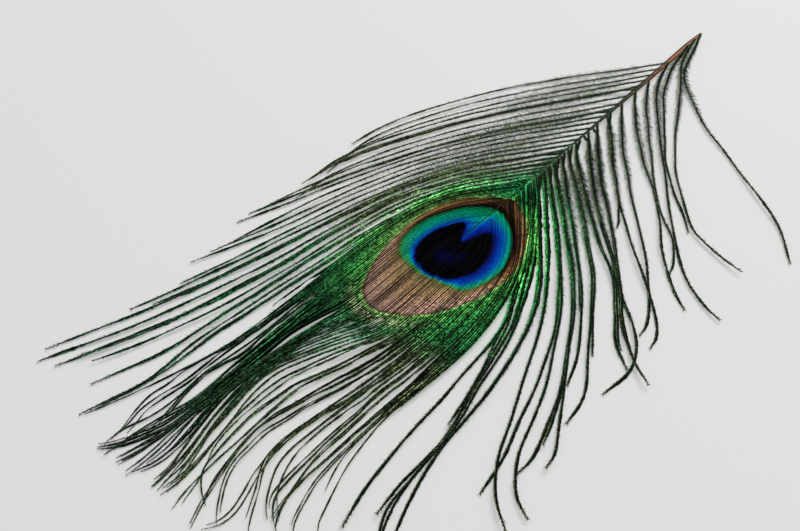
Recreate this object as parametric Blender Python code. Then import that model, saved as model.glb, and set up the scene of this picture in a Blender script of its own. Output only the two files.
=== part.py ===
"""Peacock eye feather, cut short, lying face up on a flat surface.

The shaft points along +X from its cut end to the tip, +Y is across it, on the side of the widest locks, and
+Z is up. The surface under the feather is the plane z = 0, and the origin lies on it under the eye. It grew as
one piece, so it is one solid: the tapered shaft, the closed vane round the eye, and the locks of barbs, fused
where they meet.
"""
import math

import bmesh
import bpy
import numpy as np
from mathutils import Vector

MM = 0.001

# Driving dimensions, in mm. Places along the shaft are counted from its cut end.
ORIGIN_ALONG = 145.0
SHAFT_LENGTH = 141.0
SHAFT_RADIUS_CUT = 1.15
SHAFT_RADIUS_END = 0.30
SHAFT_HEIGHT_CUT = 1.00
SHAFT_HEIGHT_END = 1.75
SHAFT_SIDES = 10
SHAFT_STATIONS = 9

VANE_CROWN = 2.70
VANE_EDGE_HEIGHT = 1.20
VANE_END_HEIGHT = 0.90
VANE_ACROSS = 7
BELOW_TABLE = 1.0

LOCK_STATIONS = 9
LOCK_STATION_POWER = 0.85
LOCK_TIP_SHARE = 0.34
LOCK_THICKNESS = 1.10
LOCK_TIP_THICKNESS = 0.60
LOCK_TIP_HEIGHT = 0.20
LOCK_STAGGER = 0.13
SIDE_LOCK_WIDTH = 2.0
SIDE_LOCK_ARCH = 2.3
FRINGE_LOCK_WIDTH = 1.7
FRINGE_LOCK_ARCH = 1.1
FRINGE_START_HEIGHT = 1.2

# Edge of the closed vane: along the shaft, width on the +Y side, width on the -Y side.
VANE_EDGE = (
    (94.0, 1.6, 1.6),
    (104.0, 6.5, 6.5),
    (114.0, 11.5, 11.5),
    (125.0, 17.0, 15.5),
    (136.0, 21.5, 18.5),
    (148.0, 23.6, 20.0),
    (162.0, 24.0, 20.4),
    (173.0, 23.2, 19.8),
    (180.0, 19.0, 17.5),
    (184.5, 11.0, 12.0),
)

# Locks that leave the shaft: the root's place along it, then points (across, along) on the lock's middle line.
NEAR_LOCKS = (
    (1.0, (3, 12), (8.5, 30), (22, 47.5), (40, 62.5), (60, 80), (70, 94.5)),
    (3.0, (5, 22), (11, 38.5), (18, 55), (26, 72), (35, 88.5), (48, 101), (61.5, 104.5)),
    (6.0, (7, 30), (14, 48), (22, 66), (33, 86), (42, 102), (50, 114), (57, 120.5), (65, 124.5)),
    (9.0, (6, 28), (14, 46), (24, 66), (34, 84), (44, 99.5)),
    (14.0, (6, 33), (14, 51), (24, 71), (34, 90), (43, 106), (48, 117)),
    (24.0, (6, 41), (14, 60), (25, 81), (36, 98.5), (46, 113), (56.5, 126.5)),
    (33.0, (8, 50), (18, 68), (29, 88), (40, 106), (48, 120), (50.5, 131)),
    (42.0, (8, 58), (20, 79), (31, 97.5), (41, 113), (49, 128), (52.5, 140)),
    (50.0, (10, 67), (22, 88), (32, 104.5), (43, 118), (52, 130), (57, 142.5)),
    (62.0, (10, 78), (22, 98), (33, 116), (42, 133), (47, 143.5), (54, 148.5), (61, 153.5)),
    (69.0, (10, 85), (22, 104), (33, 121), (44, 136), (53, 149), (56, 156), (54.5, 161.5)),
    (76.0, (10, 91), (20, 107), (30, 124), (38, 140), (44, 155), (47, 165)),
    (80.0, (10, 95), (21, 113), (32, 131), (40, 146), (47, 157), (52, 166), (53.5, 173.5)),
    (86.0, (10, 101), (20, 116.5), (30, 133), (39, 150), (48, 167), (54, 179), (56, 186)),
    (90.0, (10, 105), (19, 118), (28, 133), (37, 149.5), (45, 165), (50.5, 181), (52.3, 193)),
    (94.0, (10, 109), (19, 122), (28, 138), (36, 153.5), (43, 169), (49, 186), (54, 194.5), (60, 199)),
    (97.0, (9, 110), (18, 124), (26, 139), (34, 154), (41, 169), (46, 184), (48.8, 200.5)),
    (99.0, (9, 112), (18, 127), (25, 139.5), (33, 154), (40, 171), (46, 187), (51, 197), (58, 204)),
    (101.5, (9, 115), (18, 131), (24, 142), (29.5, 155), (33, 170), (35, 188), (36.5, 204), (40, 215),
     (45, 226)),
    (103.0, (9, 116), (17, 131), (23, 143), (28.5, 155), (32, 171), (34.8, 190), (35.5, 203), (38, 214),
     (42, 225)),
    (104.5, (8, 117), (16, 131), (22, 143), (27, 156), (31, 172), (34.5, 191), (34.2, 203), (36, 213),
     (40, 222)),
    (106.0, (8, 118), (15, 131), (20, 143), (24, 157), (27, 171), (28.3, 186), (29.2, 203), (31.5, 217),
     (35, 231)),
)
FAR_LOCKS = (
    (25.0, (-8, 36), (-20, 52), (-33, 72), (-44, 94), (-50, 112), (-51, 124)),
    (33.0, (-8, 45), (-20, 63), (-32, 83), (-42, 104), (-47, 122), (-46, 138)),
    (41.0, (-8, 53), (-20, 71), (-32, 91), (-42, 112), (-49, 130), (-51, 145)),
    (48.0, (-8, 60), (-20, 78), (-31, 97), (-40, 117), (-45, 135), (-45, 150)),
    (55.0, (-8, 67), (-20, 85), (-31, 104), (-40, 124), (-46, 142), (-49, 158)),
    (61.0, (-8, 73), (-20, 91), (-31, 111), (-40, 133), (-47, 153), (-53, 168)),
    (67.0, (-8, 79), (-19, 96), (-30, 117), (-38, 139), (-43, 160), (-45, 176)),
    (72.0, (-8, 84), (-19, 101), (-29, 121), (-36, 143), (-42, 166), (-50, 186)),
    (77.0, (-8, 89), (-18, 105), (-27, 125), (-34, 148), (-39, 172), (-44, 197)),
    (82.0, (-8, 94), (-18, 110), (-26, 130), (-32, 153), (-37, 177), (-44, 203), (-53, 229)),
    (87.0, (-8, 99), (-17, 114), (-25, 134), (-29, 157), (-33, 182), (-40, 210), (-49, 234)),
    (92.0, (-7, 103), (-16, 118), (-23, 138), (-26, 160), (-29, 185), (-34, 208), (-40, 224)),
    (96.0, (-8, 109), (-15, 122), (-20, 140), (-22.5, 158), (-25.2, 182), (-27, 206), (-26.6, 221),
     (-30.2, 237.5)),
)
# Locks of the fringe: they part from the closed vane, so each row starts inside it.
FRINGE_LOCKS = (
    ((23.0, 165), (22.6, 180), (21.4, 198), (24, 212), (28.5, 224), (32.5, 232)),
    ((22.4, 165), (22, 182), (20.7, 200), (21.8, 212), (24, 220.5)),
    ((21.6, 165), (21, 182), (20.2, 200), (20.6, 213), (24, 224), (30, 232)),
    ((20.8, 165), (20.2, 182), (19.4, 200), (19, 214), (20.5, 226), (25, 235)),
    ((19.5, 165), (18.3, 182), (17.3, 200), (16.8, 214), (19.5, 226), (27, 235)),
    ((18, 165), (17.2, 182), (16.2, 200), (15.4, 214), (16.8, 226), (23, 236)),
    ((16.5, 165), (15, 182), (12.6, 200), (12, 213), (15, 224), (21.5, 234)),
    ((15, 165), (13.8, 182), (11.3, 200), (10.5, 213), (12, 222), (16, 230)),
    ((13.8, 165), (12.8, 182), (10, 200), (8.8, 213), (10.5, 222), (19, 235.5)),
    ((13, 165), (12, 182), (9.6, 200), (8.7, 214), (11.6, 228), (12.4, 234), (10.5, 241)),
    ((12.2, 165), (11, 182), (7.6, 198), (4.6, 212), (4, 222), (7, 231), (13.2, 239)),
    ((10.4, 165), (9.2, 182), (5.8, 198), (3.2, 211), (2.6, 222), (5, 231), (9.2, 241.5)),
    ((9, 165), (7.8, 182), (4.6, 198), (2.4, 211), (2, 222), (3.4, 233), (5.5, 241)),
    ((7.6, 165), (6.6, 182), (3.6, 198), (1.6, 211), (1.1, 224), (0.9, 234), (2, 242)),
    ((6, 165), (5, 182), (2, 198), (0.2, 211), (0.4, 223), (3.2, 231), (7.5, 238.5)),
    ((4.4, 165), (3.4, 182), (0.6, 198), (-1.2, 211), (-1.4, 223), (0.2, 231), (1.4, 238)),
    ((2.6, 165), (1, 182), (-2.8, 198), (-5.4, 210), (-5.6, 221), (-3.4, 230), (-1.6, 238.5)),
    ((1, 165), (-0.6, 182), (-4.4, 198), (-7.2, 209), (-8.4, 218), (-6, 229), (-3.6, 240)),
    ((-1, 165), (-2.6, 182), (-6.4, 198), (-9, 209), (-9.8, 219), (-7.8, 229), (-5.8, 239)),
    ((-4, 165), (-5.6, 182), (-8.4, 198), (-10, 210), (-11, 220), (-9.8, 230), (-7.4, 238.5)),
    ((-7, 165), (-8.2, 182), (-9.8, 198), (-10.8, 211), (-11.5, 221), (-11.3, 231), (-9.8, 241)),
    ((-10, 165), (-10.8, 182), (-11.8, 198), (-12.4, 212), (-12.8, 222), (-13, 232), (-14, 240.5)),
    ((-12.5, 165), (-13, 182), (-13.2, 198), (-13.3, 212), (-13.6, 222), (-14.4, 232), (-16, 241.3)),
    ((-15, 165), (-15.2, 182), (-14.8, 198), (-14.2, 212), (-14.6, 223), (-16.4, 233), (-20.6, 240.8)),
    ((-17, 165), (-17.2, 182), (-17, 198), (-16.2, 212), (-16.6, 223), (-17.2, 233), (-17.8, 241)),
    ((-18.2, 165), (-18.6, 182), (-18.6, 198), (-18.6, 211), (-18.2, 222), (-18.4, 232), (-20.2, 240)),
    ((-18.8, 165), (-19.6, 182), (-20.2, 198), (-22, 212), (-23.2, 221), (-21.8, 229), (-19.6, 238)),
    ((-19.4, 165), (-20.4, 182), (-20.8, 198), (-22.6, 212), (-24.6, 222), (-26.6, 231), (-28, 238.5)),
    ((-19, 150), (-21, 166), (-23.8, 186), (-25.2, 203), (-25.6, 218), (-27, 230), (-28.8, 238)),
)


def clear_scene():
    for item in list(bpy.data.objects):
        bpy.data.objects.remove(item, do_unlink=True)


def feather_material():
    """Dark green barbs: a dull, slightly glossy keratin."""
    material = bpy.data.materials.new("barbs")
    material.use_nodes = True
    shader = material.node_tree.nodes["Principled BSDF"]
    shader.inputs["Base Color"].default_value = (0.020, 0.075, 0.030, 1.0)
    shader.inputs["Roughness"].default_value = 0.45
    shader.inputs["Metallic"].default_value = 0.0
    return material


def smooth_curve(points, count):
    """Points along a curve that passes smoothly through the given ones, a little closer towards its end."""
    points = np.array(points, dtype=float)
    steps = np.linalg.norm(np.diff(points, axis=0), axis=1)
    knots = np.concatenate([[0.0], np.cumsum(np.sqrt(steps))])
    first = 2 * points[0] - points[1]
    last = 2 * points[-1] - points[-2]
    padded = np.vstack([first, points, last])
    padded_knots = np.concatenate([[2 * knots[0] - knots[1]], knots, [2 * knots[-1] - knots[-2]]])
    fine = []
    for span in range(len(points) - 1):
        p0, p1, p2, p3 = padded[span:span + 4]
        k0, k1, k2, k3 = padded_knots[span:span + 4]
        for k in np.linspace(k1, k2, 16, endpoint=False):
            a1 = (k1 - k) / (k1 - k0) * p0 + (k - k0) / (k1 - k0) * p1
            a2 = (k2 - k) / (k2 - k1) * p1 + (k - k1) / (k2 - k1) * p2
            a3 = (k3 - k) / (k3 - k2) * p2 + (k - k2) / (k3 - k2) * p3
            b1 = (k2 - k) / (k2 - k0) * a1 + (k - k0) / (k2 - k0) * a2
            b2 = (k3 - k) / (k3 - k1) * a2 + (k - k1) / (k3 - k1) * a3
            fine.append((k2 - k) / (k2 - k1) * b1 + (k - k1) / (k2 - k1) * b2)
    fine.append(points[-1])
    fine = np.array(fine)
    travelled = np.concatenate([[0.0], np.cumsum(np.linalg.norm(np.diff(fine, axis=0), axis=1))])
    wanted = travelled[-1] * np.linspace(0.0, 1.0, count) ** LOCK_STATION_POWER
    return np.stack([np.interp(wanted, travelled, fine[:, axis]) for axis in (0, 1)], axis=1)


def loft(name, rings, material):
    """A closed body through rings of (along, across, up) points, with a flat cap at each end."""
    mesh = bmesh.new()
    origin = Vector((ORIGIN_ALONG, 0.0, 0.0))
    rows = [[mesh.verts.new((Vector(point) - origin) * MM) for point in ring] for ring in rings]
    for lower, upper in zip(rows, rows[1:]):
        for side in range(len(lower)):
            following = (side + 1) % len(lower)
            mesh.faces.new((lower[side], lower[following], upper[following], upper[side]))
    mesh.faces.new(list(reversed(rows[0])))
    mesh.faces.new(rows[-1])
    bmesh.ops.recalc_face_normals(mesh, faces=mesh.faces)
    bmesh.ops.triangulate(mesh, faces=mesh.faces)
    data = bpy.data.meshes.new(name)
    mesh.to_mesh(data)
    mesh.free()
    data.materials.append(material)
    return bpy.data.objects.new(name, data)


def shaft_height(along):
    return SHAFT_HEIGHT_CUT + (SHAFT_HEIGHT_END - SHAFT_HEIGHT_CUT) * min(along / SHAFT_LENGTH, 1.0)


def make_shaft(material):
    rings = []
    for share in np.linspace(0.0, 1.0, SHAFT_STATIONS):
        along = share * SHAFT_LENGTH
        radius = SHAFT_RADIUS_CUT + (SHAFT_RADIUS_END - SHAFT_RADIUS_CUT) * share ** 0.8
        turns = [2 * math.pi * side / SHAFT_SIDES for side in range(SHAFT_SIDES)]
        rings.append([(along, radius * math.cos(a), shaft_height(along) + radius * math.sin(a)) for a in turns])
    return loft("feather", rings, material)


def make_vane(material):
    """The closed part of the vane: a low crowned plate whose edge follows VANE_EDGE."""
    rings = []
    last = len(VANE_EDGE) - 1
    for row, (along, near, far) in enumerate(VANE_EDGE):
        ends = math.sin(math.pi * min(max(row / last, 0.12), 0.90)) ** 0.5
        edge = VANE_END_HEIGHT + (VANE_EDGE_HEIGHT - VANE_END_HEIGHT) * ends
        crown = edge + (VANE_CROWN - VANE_EDGE_HEIGHT) * ends
        ring = [(along, -far, -BELOW_TABLE), (along, near, -BELOW_TABLE)]
        for share in np.linspace(1.0, -1.0, VANE_ACROSS):
            across = share * (near if share > 0 else far)
            ring.append((along, across, edge + (crown - edge) * (1 - share * share)))
        rings.append(ring)
    return loft("vane", rings, material)


def make_lock(name, points, width, start_height, arch, raised, material):
    """A tapered lock of diamond section that rises off its start and comes down to the table at its tip."""
    path = smooth_curve(points, LOCK_STATIONS)
    rings = []
    for station, (across, along) in enumerate(path):
        share = station / (LOCK_STATIONS - 1)
        ahead = path[min(station + 1, LOCK_STATIONS - 1)]
        behind = path[max(station - 1, 0)]
        heading = (ahead - behind) / np.linalg.norm(ahead - behind)
        half = 0.5 * width * (1 - (1 - LOCK_TIP_SHARE) * share ** 1.6)
        thick = LOCK_THICKNESS + (LOCK_TIP_THICKNESS - LOCK_THICKNESS) * share
        height = start_height + (LOCK_TIP_HEIGHT - start_height) * share ** 2
        height += (arch * 4 * share * (1 - share) + raised) * (1 - share ** 4)
        side_across, side_along = heading[1] * half, -heading[0] * half
        rings.append([
            (along + side_along, across + side_across, height),
            (along, across, height + 0.5 * thick),
            (along - side_along, across - side_across, height),
            (along, across, height - 0.5 * thick),
        ])
    return loft(name, rings, material)


def make_locks(material):
    locks = []
    for group, rows in (("near", NEAR_LOCKS), ("far", FAR_LOCKS)):
        for number, (root, *points) in enumerate(rows):
            raised = LOCK_STAGGER * (number % 3 - 1)
            locks.append(make_lock(f"{group}_lock_{number:02d}", [(0.0, root), *points], SIDE_LOCK_WIDTH,
                                   shaft_height(root), SIDE_LOCK_ARCH, raised, material))
    for number, points in enumerate(FRINGE_LOCKS):
        raised = LOCK_STAGGER * (number % 3 - 1)
        locks.append(make_lock(f"fringe_lock_{number:02d}", points, FRINGE_LOCK_WIDTH,
                               FRINGE_START_HEIGHT, FRINGE_LOCK_ARCH, raised, material))
    return locks


def make_table_cutter():
    """A block under the surface, which cuts the feather's underside flat at z = 0."""
    length, width, depth = 320.0, 260.0, 20.0
    rings = []
    for along in (-30.0, length - 30.0):
        rings.append([(along, -0.5 * width, -depth), (along, 0.5 * width, -depth),
                      (along, 0.5 * width, 0.0), (along, -0.5 * width, 0.0)])
    return loft("table_cutter", rings, bpy.data.materials.new("cutter"))


def hide_guide(item):
    item.hide_render = True
    item.display_type = "WIRE"


def main():
    clear_scene()
    material = feather_material()
    scene = bpy.context.scene
    shaft = make_shaft(material)
    scene.collection.objects.link(shaft)

    fused = bpy.data.collections.new("fused_to_shaft")
    scene.collection.children.link(fused)
    for item in [make_vane(material), *make_locks(material)]:
        fused.objects.link(item)
        hide_guide(item)

    union = shaft.modifiers.new("fuse", "BOOLEAN")
    union.operation = "UNION"
    union.solver = "EXACT"
    union.operand_type = "COLLECTION"
    union.collection = fused

    cutter = make_table_cutter()
    scene.collection.objects.link(cutter)
    hide_guide(cutter)
    flat = shaft.modifiers.new("flat_underside", "BOOLEAN")
    flat.operation = "DIFFERENCE"
    flat.solver = "EXACT"
    flat.object = cutter


main()
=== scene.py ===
# %% [markdown]
# # A peacock eye feather, cut short and lying on a pale table
#
# A peacock's train feather is a shaft with barbs on both sides, and each barb carries hundreds of barbules.
# Round the eye the barbules touch and make a closed sheet, and further out they let the barbs hang loose.
# All of it can be drawn from one idea: a barb is a curve, and everything else is laid along those curves.
# The lesson starts by importing the solid and hiding it, and builds every fine part round it with
# whole-array arithmetic.

# %% Load the imported feather
import math

import bpy
import numpy as np
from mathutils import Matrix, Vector


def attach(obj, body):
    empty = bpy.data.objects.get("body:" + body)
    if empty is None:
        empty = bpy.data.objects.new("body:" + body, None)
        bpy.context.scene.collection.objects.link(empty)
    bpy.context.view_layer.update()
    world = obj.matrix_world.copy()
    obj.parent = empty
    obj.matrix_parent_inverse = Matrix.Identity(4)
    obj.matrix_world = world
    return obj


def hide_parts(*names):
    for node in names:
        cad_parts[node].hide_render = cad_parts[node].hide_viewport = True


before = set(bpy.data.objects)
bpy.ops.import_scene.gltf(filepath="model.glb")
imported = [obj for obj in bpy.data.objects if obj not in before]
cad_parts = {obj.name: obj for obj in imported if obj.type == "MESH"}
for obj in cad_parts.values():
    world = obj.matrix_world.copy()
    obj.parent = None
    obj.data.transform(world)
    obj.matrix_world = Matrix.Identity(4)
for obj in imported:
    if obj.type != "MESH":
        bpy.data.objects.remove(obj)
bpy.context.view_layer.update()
MM = 0.001
ORIGIN_ALONG = 145.0

# %% [markdown]
# ## Measures and chance
#
# Places are given in millimetres as (along, across, up): along the shaft from its cut end, across it, and up
# from the table. The origin of the scene lies under the eye, 145 mm from the cut end. Natural unevenness
# comes from seeded random numbers, so that the feather grows the same way every time.

# %% Helpers for places and unevenness
# A random phase is drawn from 0 to this many radians.
FULL_TURN = 6.28


def to_scene(places):
    """Millimetres counted from the cut end become metres counted from the origin under the eye."""
    return (np.asarray(places, dtype=float) - [ORIGIN_ALONG, 0.0, 0.0]) * MM


def chance(seed):
    """A stream of random numbers that is the same in every run. Each step of the lesson has its own."""
    return np.random.default_rng(seed)


def smoothstep(low, high, value):
    """0 below low, 1 above high, and the cubic 3x^2 - 2x^3 in between."""
    x = np.clip((value - low) / (high - low), 0.0, 1.0)
    return x * x * (3 - 2 * x)


print("a soft step from 0 to 10, at 0, 2, 5 and 10:", smoothstep(0.0, 10.0, np.array([0, 2, 5, 10])))

# %% [markdown]
# ## The lines that the locks follow
#
# On the real feather the loose barbs do not lie evenly: they hook together into locks, cross and curl. A
# few dozen guide lines say where each lock runs, and the locks of the solid follow most of them. A row for
# a side lock starts with its root's place on the shaft, and then gives (across, along) points. A row for
# the fringe gives only the part past the closed vane, because the barbs there come out of the eye in an
# orderly fan. Positions are given once here, and every hair below is worked out from them.

# %% Guide lines
NEAR_LOCKS = (
    (1.0, (3, 12), (7, 27), (14.4, 38.1), (26.8, 52), (35.6, 59.2), (46, 68), (60, 80), (70, 94.5)),
    (5.0, (3, 20), (7, 29.5), (13.3, 42.6), (20, 58.1), (29.1, 76.2), (39.5, 90.9), (45.5, 97.8),
     (53.3, 101.7), (61.3, 104.5)),
    (10.0, (2.5, 25.9), (7, 40.3), (15.9, 58), (24.4, 73.8), (31.8, 84), (39.2, 92.7), (43.7, 98.7)),
    (24.0, (3.9, 39.2), (11.9, 54.3), (24, 74.2), (34.5, 91), (44.2, 105.4), (53.5, 116.8),
     (60.7, 121.9), (65.1, 124)),
    (37.5, (5.2, 49), (13.6, 63.2), (21.5, 76.1), (30.2, 89.9), (36.6, 98), (43, 104.8), (47.2, 112.9),
     (48.1, 116.9)),
    (46.5, (3.8, 53.7), (10.9, 65.4), (21.1, 79.5), (29.9, 90.2), (35.8, 99.2), (43.8, 112.2),
     (51.4, 121.2), (56.5, 126.1)),
    (55.0, (4.2, 62.5), (11.3, 74.8), (21, 88.6), (28.8, 99.4), (36.4, 109.1), (42.9, 118.7),
     (48.4, 128.1), (52, 136.6), (52.3, 140.1)),
    (62.0, (4.5, 70.5), (12.6, 83.2), (21.7, 96.1), (31.4, 108), (41.8, 119.6), (51.1, 130.4),
     (56, 138.4), (56.8, 142.6)),
    (64.2, (5.2, 71), (12.8, 83), (21.3, 95.8), (27.3, 107), (28.1, 109.5)),
    (69.8, (4.4, 77.1), (15.1, 93.3), (25.8, 107.1), (35, 120.2), (43, 132.4), (47.6, 139.7),
     (54.9, 148.1), (61.3, 153)),
    (75.0, (3.7, 80.9), (13.2, 94.8), (23.8, 108.8), (34.4, 120.7), (43.4, 132.1), (48.4, 136.9),
     (53.3, 143.4), (55.7, 151.4), (54.5, 161.4)),
    (82.0, (4.8, 89.5), (16.3, 103.8), (27.3, 116.4), (38.1, 127.2), (44.1, 136.8), (49.4, 145.3),
     (55.7, 151.4)),
    (86.2, (3.7, 91.5), (14.7, 105.1), (25, 118.2), (34, 130.5), (40.8, 142.9), (47, 154.4),
     (52.4, 165.2), (53.3, 173.4)),
    (90.1, (4.3, 95.9), (12.6, 106.7), (22.7, 120), (31.7, 132.4), (39.1, 144.3), (44.8, 156.2),
     (47.4, 164.5)),
    (93.4, (5.3, 101.1), (15.9, 115), (25.7, 127.6), (33.8, 139.8), (40, 152), (45.4, 163.4),
     (49.4, 174.8), (52, 186.2), (51.8, 191.5)),
    (94.6, (6, 102), (16.6, 115.2), (26.4, 127.8), (34.6, 140), (40.8, 152.2), (46.4, 163.4),
     (51.3, 173.3), (55.4, 181.9), (55.7, 185.9)),
    (96.4, (4.3, 103), (14.1, 116.4), (23.4, 129.4), (31.1, 142), (37, 154.3), (41.2, 166.7),
     (44.4, 178.8), (47.2, 190.1), (48.6, 200)),
    (97.6, (5, 104), (14.8, 116.6), (24.1, 129.6), (32, 142), (38, 154.3), (42.8, 165.5), (46.6, 177),
     (49.9, 187.9), (54.6, 195.5), (59.7, 198.9)),
    (99.5, (3.1, 104), (12.6, 117.7), (21.4, 131), (28.8, 143.8), (34.3, 156.5), (38.8, 168.7),
     (42.9, 180), (46.8, 190.3), (52, 198.7), (58, 204)),
    (102.0, (6.1, 111.9), (15.6, 125.7), (23.8, 138.6), (29.6, 151.5), (32.9, 164), (34.6, 176),
     (35.3, 185), (36, 195), (37.6, 205), (40.1, 214), (45, 226)),
    (103.4, (9, 116), (17, 130), (23, 143), (27.6, 155), (29.5, 162), (31.1, 170), (32.1, 176),
     (34.3, 186), (35.4, 195), (36.1, 205), (37.6, 214), (42, 225)),
    (104.8, (8, 117), (16, 131), (22, 143.5), (26.8, 155), (28.7, 162), (30.4, 170), (31.4, 176),
     (33.7, 187), (35, 195), (35.4, 204), (36.2, 214), (40, 222)),
    (106.2, (8, 118), (15.2, 131), (21, 143.5), (25.8, 155), (27.8, 162), (29.8, 170), (31, 177),
     (32.7, 185), (33.6, 189.5)),
    (107.2, (7.6, 118.2), (14.6, 131), (20, 143.5), (24.9, 155.5), (27.2, 163), (29.4, 171),
     (31.9, 181), (34.5, 192), (34.6, 201), (34.3, 207), (35.4, 216)),
    (108.0, (7.3, 118.5), (14.1, 131), (19, 143), (23.1, 150.5), (25.1, 155.5), (26.1, 161),
     (26.9, 168.5), (27.8, 181), (28.6, 193.5), (29.2, 204), (30.3, 212.4), (32.7, 223)),
)
FAR_LOCKS = (
    (25.0, (-8, 36), (-20, 52), (-33, 72), (-44, 94), (-50, 112), (-51, 124)),
    (33.0, (-8, 45), (-20, 63), (-32, 83), (-42, 104), (-47, 122), (-46, 138)),
    (41.0, (-8, 53), (-20, 71), (-32, 91), (-42, 112), (-49, 130), (-51, 145)),
    (48.0, (-8, 60), (-20, 78), (-31, 97), (-40, 117), (-45, 135), (-45, 150)),
    (55.0, (-8, 67), (-20, 85), (-31, 104), (-40, 124), (-46, 142), (-49, 158)),
    (62.0, (-8, 74), (-20, 91), (-31, 111), (-40, 133), (-47, 153), (-53, 168)),
    (69.0, (-8, 80), (-19, 96), (-30, 117), (-38, 139), (-43, 160), (-45, 176)),
    (75.0, (-8, 86), (-19, 102), (-29, 121), (-36, 143), (-42, 166), (-50, 186)),
    (81.0, (-8, 92), (-18, 106), (-27, 125), (-34, 148), (-39, 172), (-44, 197)),
    (87.0, (-8, 98), (-18, 112), (-26, 130), (-32, 153), (-37, 177), (-44, 203), (-53, 229)),
    (93.0, (-8, 104), (-17, 117), (-25, 136), (-29, 157), (-33, 182), (-40, 210), (-49, 234)),
    (98.0, (-8, 109), (-16, 121), (-23, 140), (-26, 160), (-29, 185), (-34, 208), (-40, 224)),
    (102.5, (-8, 113), (-15, 124), (-20, 141), (-22.5, 158), (-25.2, 182), (-27, 206), (-26.6, 221),
     (-30.2, 237.5)),
    (106.0, (-8, 116.2), (-14.2, 125), (-18.9, 141), (-21, 158), (-23.2, 180), (-25.4, 200),
     (-25.8, 214), (-28.6, 232)),
)
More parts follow.
